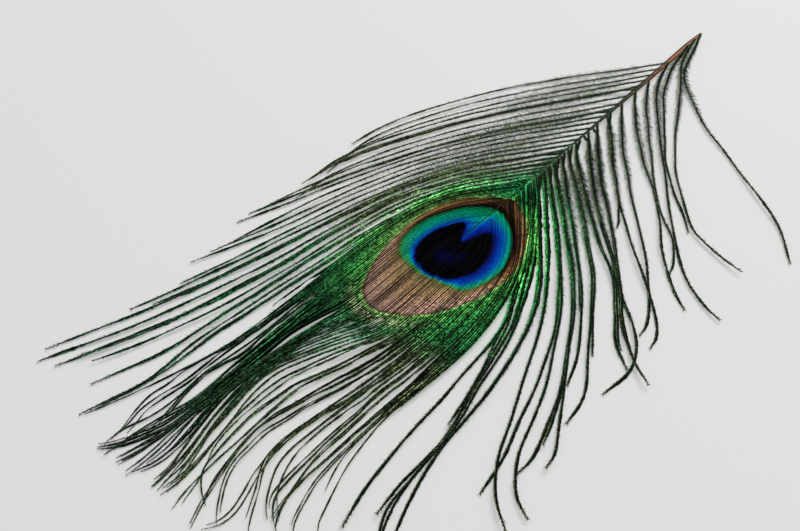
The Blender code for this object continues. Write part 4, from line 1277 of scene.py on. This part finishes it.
# Pupil and inner blue are alike on both.
PUPIL_RINGS = (
    (0.0, "#04083C"), (0.45, "#010208"), (0.9, "#010206"), (0.985, "#030828"), (1.02, "#0A26A0"),
    (1.2, "#044CCC"), (1.42, "#0476CC"),
)
FLANK_RINGS = PUPIL_RINGS + (
    (1.58, "#04A0B4"), (1.74, "#04B49C"), (1.9, "#06B274"), (1.99, "#0A7448"), (2.02, "#1E1610"),
    (2.22, "#342014"), (2.42, "#90603E"), (2.75, "#C89864"), (2.93, "#A47A48"), (2.985, "#3E3418"),
    (2.999, "#7CAC50"), (3.008, "#90CC68"), (3.018, "#2E8A40"), (3.07, "#3C7A34"), (3.12, "#2C7438"),
    (3.25, "#246632"), (3.45, "#205A2E"), (3.7, "#1E502E"), (4.0, "#1E4429"), (4.8, "#26392B"),
)
TIP_RINGS = PUPIL_RINGS + (
    (1.56, "#08A0A0"), (1.7, "#1CAC84"), (1.9, "#3AB268"), (1.99, "#4C9850"), (2.03, "#7C7E44"),
    (2.12, "#98865A"), (2.4, "#BA966C"), (2.7, "#CCA488"), (2.93, "#BE9686"), (2.985, "#524234"),
    (2.999, "#8CB45C"), (3.008, "#A8D87C"), (3.018, "#56804A"), (3.07, "#6C6C54"), (3.16, "#28542E"),
    (3.4, "#1C4A2A"), (3.8, "#225432"), (4.2, "#265032"), (5.0, "#2C4636"),
)
TIP_STARTS, TIP_BLEND = 140.0, 14.0
BAND_STARTS_LATER = 24.0
BRONZE_ENDS = 3.0


def ring_ramps(material, ring, along, outside):
    """Flank ramp x (1 - b) + tip ramp x b, with b a smoothstep along the shaft that starts 24 mm later outside
    the bronze than inside it."""
    place = add_node(material, "ShaderNodeMath", {0: ring, 1: RING_SPAN}, operation="DIVIDE")
    flank, tip = (add_node(material, "ShaderNodeValToRGB", {"Fac": place},
                           [(at / RING_SPAN, code) for at, code in rings]).outputs["Color"]
                  for rings in (FLANK_RINGS, TIP_RINGS))
    later = add_node(material, "ShaderNodeMath",
            {0: outside, 1: -BAND_STARTS_LATER, 2: along}, operation="MULTIPLY_ADD")
    to_tip = add_node(material, "ShaderNodeMapRange",
            {"Value": later, "From Min": TIP_STARTS, "From Max": TIP_STARTS + TIP_BLEND},
            interpolation_type="SMOOTHSTEP")
    return add_node(material, "ShaderNodeMix", {0: to_tip, 6: flank, 7: tip}, data_type="RGBA").outputs[2]


print(len(FLANK_RINGS), "colours on the flanks and", len(TIP_RINGS), "at the tip")

# %% [markdown]
# ## The dark top of the bronze
#
# At the top of the eye the barbs are steep and crowded and turn their colour away from the viewer, so the
# bronze looks nearly black there. A fold runs from the top down through the near half of the band: it is a
# black line, and past it the bronze is bright again. Real barbs change their tilt there. Here a factor on
# the colour paints the shade and the light in, because a tilt of a few degrees would be lost in the
# thickness of a barb.

# %% Shade of the bronze
APEX_DARK, APEX_LIGHT = 117.0, 130.0
# The fold is the line across = slope x (along - start), in mm.
FOLD_START, FOLD_SLOPE = 115.1, 0.69
FOLD_HALF_WIDTH = 0.35
FOLD_FADES = (132.0, 137.0)
PAST_FOLD_STARTS = (0.2, 0.6)
# Painted shade at the top of the eye and in the fold, and painted light past the fold, as factors on the
# colour.
APEX_SHADE, FOLD_SHADE, FOLD_COVER, PAST_FOLD = 0.06, 0.03, 0.9, 1.2


def bronze_shade(material, along, across):
    """Painted shade of 6% of the colour at the top of the eye, all of it from 130 mm on; painted light of 120%
    past the fold and painted shade of 3% in it.
    """
    apex = add_node(material, "ShaderNodeMapRange",
            {"Value": along, "From Min": APEX_DARK, "From Max": APEX_LIGHT, "To Min": APEX_SHADE},
            interpolation_type="SMOOTHSTEP")
    line = add_node(material, "ShaderNodeMath",
            {0: along, 1: -FOLD_SLOPE * MM, 2: FOLD_SLOPE * FOLD_START * MM}, operation="MULTIPLY_ADD")
    line = add_node(material, "ShaderNodeMath", {0: line, 1: across}, operation="ADD")
    past = add_node(material, "ShaderNodeMapRange",
            {"Value": line, "From Min": PAST_FOLD_STARTS[0] * MM, "From Max": PAST_FOLD_STARTS[1] * MM})
    shade = add_node(material, "ShaderNodeMix", {"Factor": past, "A": apex, "B": PAST_FOLD})
    fold = add_node(material, "ShaderNodeMath",
            {0: line, 1: 0.0, 2: FOLD_HALF_WIDTH * MM}, operation="COMPARE")
    fades = add_node(material, "ShaderNodeMapRange",
            {"Value": along, "From Min": FOLD_FADES[0], "From Max": FOLD_FADES[1], "To Min": FOLD_COVER,
             "To Max": 0.0})
    fold = add_node(material, "ShaderNodeMath", {0: fold, 1: fades}, operation="MULTIPLY")
    return add_node(material, "ShaderNodeMix", {"Factor": fold, "A": shade, "B": FOLD_SHADE})


print("the fold ends", round(FOLD_SLOPE * (FOLD_FADES[1] - FOLD_START), 1), "mm from the shaft")

# %% [markdown]
# ## Olive, lime and pale green
#
# Far from the eye the lattice gets irregular, and the brown of the melanin shows through the green: the
# loose barbs look olive. On the far half the light also catches a broad band just outside the bronze, which
# is painted in as a lime sheen.
# In the middle of the fringe the barbs are so thin that the table shines through their green. Each of the
# three is a share between 0 and 1, made of soft steps in the ring number, along the shaft and across it,
# and each mixes its own colour in.

# %% Shares of the three tints
OLIVE, LIME, PALE_GREEN = "#464830", "#7C9A54", "#4C8460"
THIN_MIDDLE, THIN_HALF_WIDTH = -2.0, 5.5
THIN_STARTS = (178.0, 183.0)
EYE_ENDS = (145.0, 165.0)
# The tufts at the far side of the fringe lie between these places across.
FAR_TUFTS = (-8.5, -6.5)
MOST_OLIVE, LIME_RINGS, LIME_SIDES = 0.75, (3.02, 3.12), (-5.0, -2.0)


def thin_share(material, along, across):
    """1 in a strip of the fringe 11 mm wide about its middle, from 183 mm along."""
    thin = add_node(material, "ShaderNodeMapRange",
            {"Value": along, "From Min": THIN_STARTS[0], "From Max": THIN_STARTS[1]})
    middle = add_node(material, "ShaderNodeMath",
            {0: across, 1: THIN_MIDDLE * MM, 2: THIN_HALF_WIDTH * MM}, operation="COMPARE")
    return add_node(material, "ShaderNodeMath", {0: thin, 1: middle}, operation="MULTIPLY")


def beside_eye(material, along):
    """1 beside the eye and 0 in the fringe."""
    return add_node(material, "ShaderNodeMapRange",
            {"Value": along, "From Min": EYE_ENDS[0], "From Max": EYE_ENDS[1], "To Min": 1.0, "To Max": 0.0})


def olive_share(material, ring, along, across):
    """The larger of two: in the fringe a soft step that starts at 171 to 188 mm and spares the far tufts; at
    the sides a soft step in ring number - 12 x across, so that it comes sooner on the far side."""
    starts = add_node(material, "ShaderNodeMapRange",
            {"Value": across, "From Min": -3 * MM, "From Max": 8 * MM, "To Min": 188.0, "To Max": 171.0})
    past = add_node(material, "ShaderNodeMath", {0: along, 1: starts}, operation="SUBTRACT")
    fringe = add_node(material, "ShaderNodeMapRange",
            {"Value": past, "From Min": 0.0, "From Max": 9.0, "To Max": MOST_OLIVE})
    spared = add_node(material, "ShaderNodeMapRange",
            {"Value": across, "From Min": FAR_TUFTS[0] * MM, "From Max": FAR_TUFTS[1] * MM})
    fringe = add_node(material, "ShaderNodeMath", {0: fringe, 1: spared}, operation="MULTIPLY")
    away = add_node(material, "ShaderNodeMath", {0: across, 1: -12.0, 2: ring}, operation="MULTIPLY_ADD")
    away = add_node(material, "ShaderNodeMapRange", {"Value": away, "From Min": 3.2, "From Max": 3.6})
    amount = add_node(material, "ShaderNodeMapRange",
            {"Value": across, "From Min": -12 * MM, "From Max": 12 * MM, "To Min": MOST_OLIVE,
             "To Max": 0.4})
    sides = add_node(material, "ShaderNodeMath", {0: away, 1: amount}, operation="MULTIPLY")
    sides = add_node(material, "ShaderNodeMath",
            {0: sides, 1: beside_eye(material, along)}, operation="MULTIPLY")
    return add_node(material, "ShaderNodeMath", {0: fringe, 1: sides}, operation="MAXIMUM")


def lime_sheen_share(material, ring, along, across):
    """Painted sheen: half just outside the bronze, none 3.6 mm out, and only on the far half beside the eye.
    """
    rim = add_node(material, "ShaderNodeMapRange",
            {"Value": ring, "From Min": LIME_RINGS[0], "From Max": LIME_RINGS[1], "To Min": 0.5,
             "To Max": 0.0})
    far_half = add_node(material, "ShaderNodeMapRange",
            {"Value": across, "From Min": LIME_SIDES[0] * MM, "From Max": LIME_SIDES[1] * MM, "To Min": 1.0,
             "To Max": 0.0})
    rim = add_node(material, "ShaderNodeMath", {0: rim, 1: far_half}, operation="MULTIPLY")
    return add_node(material, "ShaderNodeMath",
            {0: rim, 1: beside_eye(material, along)}, operation="MULTIPLY")


print("tints:", OLIVE, LIME, PALE_GREEN)

# %% [markdown]
# ## One colour for every part of the vane
#
# Blades, rami and loose barbules of one spot share their colour, so they share this graph. It takes the
# ramps' colour, mixes the three tints in and multiplies by the painted shade of the bronze. Close outside the
# bronze the near barbs stand up and catch the lamp, and a gain paints that lamp light into the colour and
# fades within half a ring.

# %% The colour of the vane
FLANK_ENDS = (3.1, 3.6)
BRONZE_MIDDLE, BRONZE_HALF = 2.5, 0.49


def vane_colour(material, flank_lamp_gain):
    """Ramps' colour, mixed with pale green, olive and lime by their shares, times the painted shade in the
    bronze and times the flank's gain, painted lamp light, just outside it."""
    ring = add_node(material, "ShaderNodeAttribute", attribute_name="ring").outputs["Fac"]
    along = add_node(material, "ShaderNodeAttribute", attribute_name="along_mm").outputs["Fac"]
    place = add_node(material, "ShaderNodeTexCoord")
    across = add_node(material, "ShaderNodeSeparateXYZ", {"Vector": place.outputs["Object"]}).outputs["Y"]
    outside = add_node(material, "ShaderNodeMath", {0: ring, 1: BRONZE_ENDS}, operation="GREATER_THAN")
    colour = ring_ramps(material, ring, along, outside)
    colour = add_node(material, "ShaderNodeMix",
            {0: thin_share(material, along, across), 6: colour, 7: linear(PALE_GREEN)},
            data_type="RGBA").outputs[2]
    for share, code in ((olive_share, OLIVE), (lime_sheen_share, LIME)):
        share = add_node(material, "ShaderNodeMath",
                {0: share(material, ring, along, across), 1: outside}, operation="MULTIPLY")
        colour = add_node(material, "ShaderNodeMix",
                {0: share, 6: colour, 7: linear(code)}, data_type="RGBA").outputs[2]
    # Painted lamp light: the flank's gain brightens the colour just outside the bronze.
    gain = add_node(material, "ShaderNodeMapRange",
            {"Value": ring, "From Min": FLANK_ENDS[0], "From Max": FLANK_ENDS[1], "To Min": flank_lamp_gain,
             "To Max": 1.0})
    gain = add_node(material, "ShaderNodeMix", {"Factor": outside, "A": 1.0, "B": gain})
    in_bronze = add_node(material, "ShaderNodeMath",
            {0: ring, 1: BRONZE_MIDDLE, 2: BRONZE_HALF}, operation="COMPARE")
    factor = add_node(material, "ShaderNodeMix",
            {"Factor": in_bronze, "A": gain, "B": bronze_shade(material, along, across)})
    return add_node(material, "ShaderNodeMix",
            {0: 1.0, 6: colour, 7: factor}, data_type="RGBA", blend_type="MULTIPLY").outputs[2]


print("colour of the vane: ramps, three tints, shade and gain")

# %% [markdown]
# ## The texture of a blade
#
# Seen closely a blade is rows of barbules, each a flat plate that glints by itself. From a little further
# off that gives three things: faint stripes of painted shade across the blade, bright and dark specks, which
# are painted glints and painted shade, and broad uneven patches of tone. Outside the eye one edge of each
# blade is also painted in the shade of its ramus, and the other gets a painted highlight. All of them are
# factors on the colour. Real barbules are some 0.05 mm apart, too fine for the picture, so the stripes are
# drawn 0.4 mm apart, and the specks 0.7 mm across.

# %% Stripes, specks, patches and shade
BARBULE_PITCH = 0.40
SPECKS_PER_METRE = 1400.0
PATCHES_PER_METRE = 300.0
# The ring numbers between which a pattern turns from the eye's to the green's.
GREEN_STARTS = (2.98, 3.06)


def specks(material, place, across, ring, outside):
    """Painted glints and painted shade: noise stretched to 0.5..1.45 in the eye, and to 0.12..2.3 in the green
    and part of the near bronze.
    """
    noise = add_node(material, "ShaderNodeTexNoise",
            {"Vector": place, "Scale": SPECKS_PER_METRE, "Detail": 2.0, "Roughness": 0.6})
    soft = add_node(material, "ShaderNodeMapRange",
            {"Value": noise.outputs["Fac"], "From Min": 0.30, "From Max": 0.70, "To Min": 0.5,
             "To Max": 1.45})
    strong = add_node(material, "ShaderNodeMapRange",
            {"Value": noise.outputs["Fac"], "From Min": 0.38, "From Max": 0.64, "To Min": 0.12,
             "To Max": 2.3})
    near = add_node(material, "ShaderNodeMapRange",
            {"Value": across, "From Min": 2 * MM, "From Max": 10 * MM})
    bronze = add_node(material, "ShaderNodeMapRange",
            {"Value": ring, "From Min": 2.3, "From Max": 2.5, "To Max": 0.6})
    share = add_node(material, "ShaderNodeMath", {0: near, 1: bronze}, operation="MULTIPLY")
    share = add_node(material, "ShaderNodeMath", {0: share, 1: outside}, operation="MAXIMUM")
    return add_node(material, "ShaderNodeMix", {"Factor": share, "A": soft, "B": strong})


def patches(material, place, outside):
    """1 in the eye, and coarse noise stretched to 0.55..1.5 outside it."""
    noise = add_node(material, "ShaderNodeTexNoise",
            {"Vector": place, "Scale": PATCHES_PER_METRE, "Detail": 1.0})
    patch = add_node(material, "ShaderNodeMapRange",
            {"Value": noise.outputs["Fac"], "From Min": 0.35, "From Max": 0.65, "To Min": 0.55,
             "To Max": 1.5})
    return add_node(material, "ShaderNodeMix", {"Factor": outside, "A": 1.0, "B": patch})


def shade_across(material, outside, edges):
    """Painted shade on the inner edge and a painted highlight on the outer one: from the first of the edges'
    factors to the second across the blade outside the eye, and only 0.8..1.1 inside it."""
    side = add_node(material, "ShaderNodeAttribute", attribute_name="blade_side").outputs["Fac"]
    shaded = add_node(material, "ShaderNodeMapRange",
            {"Value": side, "From Min": -0.2, "From Max": 0.8, "To Min": edges[0], "To Max": edges[1]},
            interpolation_type="SMOOTHSTEP")
    plain = add_node(material, "ShaderNodeMapRange",
            {"Value": side, "From Min": -1.0, "From Max": 1.0, "To Min": 0.8, "To Max": 1.1})
    return add_node(material, "ShaderNodeMix", {"Factor": outside, "A": plain, "B": shaded})


print("stripes every", BARBULE_PITCH, "mm, specks", round(1000 / SPECKS_PER_METRE, 1), "mm, patches",
      round(1000 / PATCHES_PER_METRE, 1), "mm")

# %% [markdown]
# ## The blades' material
#
# Barbules grow as flat keratin plates that overlap like slates. The plates are smooth but never quite in one
# plane, so their gloss is broad: a quarter metallic and a roughness of 0.42. Beside the shaft the green is
# made brighter and bluer.

# %% The blades
ROOT_GAIN_ENDS, ROOT_BLUE_ENDS, ROOT_BLUE = (3.0, 15.0), (4.0, 16.0), "#A0E4FF"
STRIPE_DEPTH, STRIPE_MEAN, STRIPE_HEIGHT = 0.16, 0.92, 0.08
DIM_EDGE = "#202020"


def make_blade_material(name, edges, flank_lamp_gain, root_gain):
    """Colour = vane's colour x stripe x specks x shade across x own tone x patches x gain beside the shaft;
    the stripes, specks and shade across are painted light and shade.
    """
    material = new_material(name)
    run = add_node(material, "ShaderNodeAttribute", attribute_name="barbule_mm").outputs["Fac"]
    tone = add_node(material, "ShaderNodeAttribute", attribute_name="tone").outputs["Fac"]
    ring = add_node(material, "ShaderNodeAttribute", attribute_name="ring").outputs["Fac"]
    place = add_node(material, "ShaderNodeTexCoord").outputs["Object"]
    across = add_node(material, "ShaderNodeSeparateXYZ", {"Vector": place}).outputs["Y"]
    outside = add_node(material, "ShaderNodeMapRange",
            {"Value": ring, "From Min": GREEN_STARTS[0], "From Max": GREEN_STARTS[1]})
    # The stripes are painted shade between rows of barbules; the same wave drives the bump below.
    phase = add_node(material, "ShaderNodeMath",
            {0: run, 1: 2 * math.pi / BARBULE_PITCH}, operation="MULTIPLY")
    wave = add_node(material, "ShaderNodeMath", {0: phase}, operation="SINE")
    shade = add_node(material, "ShaderNodeMath",
            {0: wave, 1: STRIPE_DEPTH, 2: STRIPE_MEAN}, operation="MULTIPLY_ADD")
    own = add_node(material, "ShaderNodeMath", {0: tone, 1: 0.4, 2: 0.8}, operation="MULTIPLY_ADD")
    beside = add_node(material, "ShaderNodeMapRange",
            {"Value": run, "From Min": ROOT_GAIN_ENDS[0], "From Max": ROOT_GAIN_ENDS[1], "To Min": root_gain,
             "To Max": 1.0})
    beside = add_node(material, "ShaderNodeMix", {"Factor": outside, "A": 1.0, "B": beside})
    # Of these factors the specks and the shade across are painted light and shade, the own tone and the
    # patches are tone.
    for factor in (specks(material, place, across, ring, outside), shade_across(material, outside, edges), own,
                   patches(material, place, outside), beside):
        shade = add_node(material, "ShaderNodeMath", {0: shade, 1: factor}, operation="MULTIPLY")
    base = add_node(material, "ShaderNodeMix",
            {0: 1.0, 6: vane_colour(material, flank_lamp_gain), 7: shade}, data_type="RGBA",
            blend_type="MULTIPLY")
    rooted = add_node(material, "ShaderNodeMapRange",
            {"Value": run, "From Min": ROOT_BLUE_ENDS[0], "From Max": ROOT_BLUE_ENDS[1], "To Min": 1.0,
             "To Max": 0.0})
    rooted = add_node(material, "ShaderNodeMath", {0: rooted, 1: outside}, operation="MULTIPLY")
    base = add_node(material, "ShaderNodeMix",
            {0: rooted, 6: base.outputs[2], 7: linear(ROOT_BLUE)}, data_type="RGBA", blend_type="MULTIPLY")
    relief = add_node(material, "ShaderNodeBump",
            {"Strength": 0.35, "Distance": STRIPE_HEIGHT * MM, "Height": wave})
    shader = add_node(material, "ShaderNodeBsdfPrincipled",
            {"Base Color": base.outputs[2], "Metallic": 0.25, "Roughness": 0.42, "IOR": KERATIN_IOR,
             "Specular IOR Level": 0.0, "Specular Tint": linear(DIM_EDGE),
             "Normal": relief.outputs["Normal"]})
    return finish_material(material, shader)


# Barbules that hook into each other: a closed sheet, with only a slight painted shade across each blade
# inside the eye, and outside it painted shade on one edge and a painted highlight on the other.
eye_vane.data.materials.append(make_blade_material("keratin_barbules_closed_vane", (0.03, 2.4), 1.0, 1.35))
# Barbules of single barbs, which roll: the upper edge gets a painted highlight and the lower one painted
# shade, nearly black.
open_material = make_blade_material("keratin_barbules_open_vane", (0.02, 2.3), 2.6, 1.7)
for piece in (near_vane, far_vane):
    piece.data.materials.append(open_material)

# %% [markdown]
# ## The rami's material
#
# A ramus is a solid horny rod, black with melanin, and has no lattice. Only over the blue and the pupil do
# barbules grow over its top, so there it takes two fifths of the vane's colour, and elsewhere a twentieth.
# Horn that grew and was never polished has a dull satin gloss.

# %% The rami
COVERED_UNTIL, COVERED, BARE = (1.8, 2.1), 0.4, 0.05


def make_rami_material():
    """Vane's colour x 0.4 up to ring number 1.8, falling to x 0.05 at 2.1."""
    material = new_material("keratin_rami")
    ring = add_node(material, "ShaderNodeAttribute", attribute_name="ring")
    depth = add_node(material, "ShaderNodeMapRange",
            {"Value": ring.outputs["Fac"], "From Min": COVERED_UNTIL[0], "From Max": COVERED_UNTIL[1],
             "To Min": COVERED, "To Max": BARE})
    colour = add_node(material, "ShaderNodeMix",
            {0: 1.0, 6: vane_colour(material, 1.0), 7: depth}, data_type="RGBA", blend_type="MULTIPLY")
    shader = add_node(material, "ShaderNodeBsdfPrincipled",
            {"Base Color": colour.outputs[2], "Roughness": 0.5, "IOR": KERATIN_IOR,
             "Specular IOR Level": 0.03})
    return finish_material(material, shader)


rami_material = make_rami_material()
for piece in rami:
    piece.data.materials.append(rami_material)

# %% [markdown]
# ## The loose barbules' material
#
# Barbules that stand off by themselves are the same plates seen singly. Close to the eye they keep the
# vane's green, and far from it they are black, olive or straw with a green one here and there. The tone
# picks which: the tuft's own, plus painted light on the hand that faces the lamp. Its cube makes most of
# them dark and a few bright, as painted glints.

# %% The loose barbules
LOOSE_TONES = ((0.0, "#050805"), (0.35, "#101810"), (0.5, "#1E4428"), (0.7, "#4C5438"), (0.85, "#7C8062"),
               (0.95, "#36984C"))
GLINT_CUBE_GAIN, CUBE_LEAST, LOOSE_FLANK_LAMP_GAIN = 4.2, 0.06, 2.2
LOOSE_RAMP_RINGS, TUFT_SHARE = (3.35, 3.9), 0.3


def make_barbule_material():
    """Near the eye the vane's colour x (4.2 tone^3 + 0.06), painted glints; from ring number 3.9 on the tone's
    own ramp, of which the far tufts of the fringe take only 30%."""
    material = new_material("keratin_barbules_loose")
    tone = add_node(material, "ShaderNodeAttribute", attribute_name="tone").outputs["Fac"]
    ring = add_node(material, "ShaderNodeAttribute", attribute_name="ring").outputs["Fac"]
    plain = add_node(material, "ShaderNodeValToRGB", {"Fac": tone}, LOOSE_TONES)
    cube = add_node(material, "ShaderNodeMath", {0: tone, 1: 3.0}, operation="POWER")
    # Painted glints: the cube of the tone makes most barbules dark and a few bright.
    bright = add_node(material, "ShaderNodeMath",
            {0: cube, 1: GLINT_CUBE_GAIN, 2: CUBE_LEAST}, operation="MULTIPLY_ADD")
    green = add_node(material, "ShaderNodeMix",
            {0: 1.0, 6: vane_colour(material, LOOSE_FLANK_LAMP_GAIN), 7: bright}, data_type="RGBA",
            blend_type="MULTIPLY")
    place = add_node(material, "ShaderNodeTexCoord")
    across = add_node(material, "ShaderNodeSeparateXYZ", {"Vector": place.outputs["Object"]}).outputs["Y"]
    along = add_node(material, "ShaderNodeAttribute", attribute_name="along_mm").outputs["Fac"]
    tuft = add_node(material, "ShaderNodeMapRange",
            {"Value": across, "From Min": FAR_TUFTS[0] * MM, "From Max": FAR_TUFTS[1] * MM,
             "To Min": TUFT_SHARE, "To Max": 1.0})
    tuft = add_node(material, "ShaderNodeMath",
            {0: tuft, 1: beside_eye(material, along)}, operation="MAXIMUM")
    away = add_node(material, "ShaderNodeMapRange",
            {"Value": ring, "From Min": LOOSE_RAMP_RINGS[0], "From Max": LOOSE_RAMP_RINGS[1]})
    away = add_node(material, "ShaderNodeMath", {0: away, 1: tuft}, operation="MULTIPLY")
    base = add_node(material, "ShaderNodeMix",
            {0: away, 6: green.outputs[2], 7: plain.outputs["Color"]}, data_type="RGBA")
    shader = add_node(material, "ShaderNodeBsdfPrincipled",
            {"Base Color": base.outputs[2], "Metallic": 0.2, "Roughness": 0.5, "IOR": KERATIN_IOR,
             "Specular IOR Level": 0.08})
    return finish_material(material, shader)


barbule_material = make_barbule_material()
for piece in barbules:
    piece.data.materials.append(barbule_material)

# %% [markdown]
# ## The shaft's material
#
# The shaft is horn round a pale pith. Near the cut the horn is thin and the pith warms it to chestnut.
# Across the shaft the colour is painted in shade towards both edges, nearly black there, and keeps its tone
# only along a lit stripe on the near half of the top. Towards the eye it is filled with melanin and turns
# black all round. Horn wears smooth where it is handled, so it has the clearest gloss here.

# %% The shaft
SHAFT_TONES = ((0.0, "#5A3A30"), (0.03, "#A86A50"), (0.18, "#9A5A3E"), (0.30, "#5A3824"), (0.42, "#2A2418"),
               (0.52, "#0E1A10"), (1.0, "#0A100C"))
SHAFT_TONES_END = 150.0
# Painted shade: the shaft is darkened to near-black towards both edges, away from the lit side.
LIT_SIDE, EDGE_SHADE_STARTS, EDGE_SHADE_TONE = 0.5, (0.32, 0.55), "#18120E"


def make_shaft_material():
    """A ramp along the shaft, mixed with a near-black painted shade by the distance of cos(angle) from the lit
    side's 0.5.
    """
    material = new_material("keratin_shaft")
    along = add_node(material, "ShaderNodeAttribute", attribute_name="along_mm")
    around = add_node(material, "ShaderNodeAttribute", attribute_name="round")
    share = add_node(material, "ShaderNodeMath",
            {0: along.outputs["Fac"], 1: SHAFT_TONES_END}, operation="DIVIDE")
    middle = add_node(material, "ShaderNodeValToRGB", {"Fac": share}, SHAFT_TONES)
    off = add_node(material, "ShaderNodeMath", {0: around.outputs["Fac"], 1: -LIT_SIDE}, operation="ADD")
    off = add_node(material, "ShaderNodeMath", {0: off}, operation="ABSOLUTE")
    edge = add_node(material, "ShaderNodeMapRange",
            {"Value": off, "From Min": EDGE_SHADE_STARTS[0], "From Max": EDGE_SHADE_STARTS[1]})
    base = add_node(material, "ShaderNodeMix",
            {0: edge, 6: middle.outputs["Color"], 7: linear(EDGE_SHADE_TONE)}, data_type="RGBA")
    shader = add_node(material, "ShaderNodeBsdfPrincipled",
            {"Base Color": base.outputs[2], "Roughness": 0.45, "IOR": KERATIN_IOR,
             "Specular IOR Level": 0.1})
    return finish_material(material, shader)


shaft.data.materials.append(make_shaft_material())

# %% [markdown]
# ## The table
#
# The feather lies on a plain pale table. A feather's gaps are narrow, and light that falls into them is
# mostly caught by the barbs before it comes back up. The table is given a weak glow of its own, painted light
# from no lamp, which lightens the shadows in those gaps and keeps them soft.

# %% Make the table
FLOOR_HALF = 2.0
BOARD, BOARD_GLOW, GLOW_STRENGTH = "#A0A09F", "#FBFBFA", 0.385
floor_mesh = bpy.data.meshes.new("table")
corners = [(-FLOOR_HALF, -FLOOR_HALF, 0), (FLOOR_HALF, -FLOOR_HALF, 0), (FLOOR_HALF, FLOOR_HALF, 0),
           (-FLOOR_HALF, FLOOR_HALF, 0)]
floor_mesh.from_pydata(corners, [], [(0, 1, 2, 3)])
floor = bpy.data.objects.new("table", floor_mesh)
bpy.context.scene.collection.objects.link(floor)
# Uncoated white board: pressed paper fibres scatter light evenly, so it has no gloss to speak of.
board = new_material("uncoated_white_board")
# The emission is painted light: a glow that lightens the shadows under the feather.
board_shader = add_node(board, "ShaderNodeBsdfPrincipled",
        {"Base Color": linear(BOARD), "Roughness": 0.8, "Emission Color": linear(BOARD_GLOW),
         "Emission Strength": GLOW_STRENGTH})
floor_mesh.materials.append(finish_material(board, board_shader))

# %% [markdown]
# ## The light
#
# Soft light from all sides and one large softbox behind the cut end: it grazes the barbs, so that each
# throws a faint shadow towards the viewer's side. A small lamp would draw every barbule twice. The plain
# Standard view keeps the blues and greens as pure as they are set.

# %% Sky and softbox
SKY, SKY_STRENGTH = "#F7F8F8", 0.46
SOFTBOX_SIDE, SOFTBOX_WATTS, SOFTBOX_PLACE = 1.0, 15.0, (-0.80, 0.07, 1.10)
scene = bpy.context.scene
scene.world = bpy.data.worlds.new("studio")
scene.world.use_nodes = True
sky = scene.world.node_tree.nodes["Background"]
sky.inputs["Color"].default_value = linear(SKY)
sky.inputs["Strength"].default_value = SKY_STRENGTH
lamp_data = bpy.data.lights.new("softbox", "AREA")
lamp_data.shape = "SQUARE"
lamp_data.size = SOFTBOX_SIDE
lamp_data.energy = SOFTBOX_WATTS
lamp = bpy.data.objects.new("softbox", lamp_data)
lamp.location = SOFTBOX_PLACE
lamp.rotation_euler = (-lamp.location).to_track_quat("-Z", "Y").to_euler()
scene.collection.objects.link(lamp)
scene.view_settings.view_transform = "Standard"
print("softbox", round(lamp.location.length, 2), "m from the eye of the feather")

# %% [markdown]
# ## The camera
#
# The camera stands at the viewpoint that the lines of sight above were worked out for, 42 degrees above the
# table and past the fringe, and looks back along the feather. Its lens is a little longer than normal, so
# the cut end does not shrink too much.

# %% Place the camera
PITCH = math.radians(42.0)
HEADING = (-0.782, -0.623)
LENS, SENSOR, CLIP_START = 45.0, 36.0, 0.01
camera_data = bpy.data.cameras.new("camera")
camera_data.lens = LENS
camera_data.sensor_width = SENSOR
camera_data.clip_start = CLIP_START
camera = bpy.data.objects.new("camera", camera_data)
camera.location = to_scene(VIEWPOINT)
look = Vector((HEADING[0] * math.cos(PITCH), HEADING[1] * math.cos(PITCH), -math.sin(PITCH)))
camera.rotation_euler = look.to_track_quat("-Z", "Y").to_euler()
scene.collection.objects.link(camera)
scene.camera = camera
print("camera at", [round(v, 3) for v in camera.location], "m")
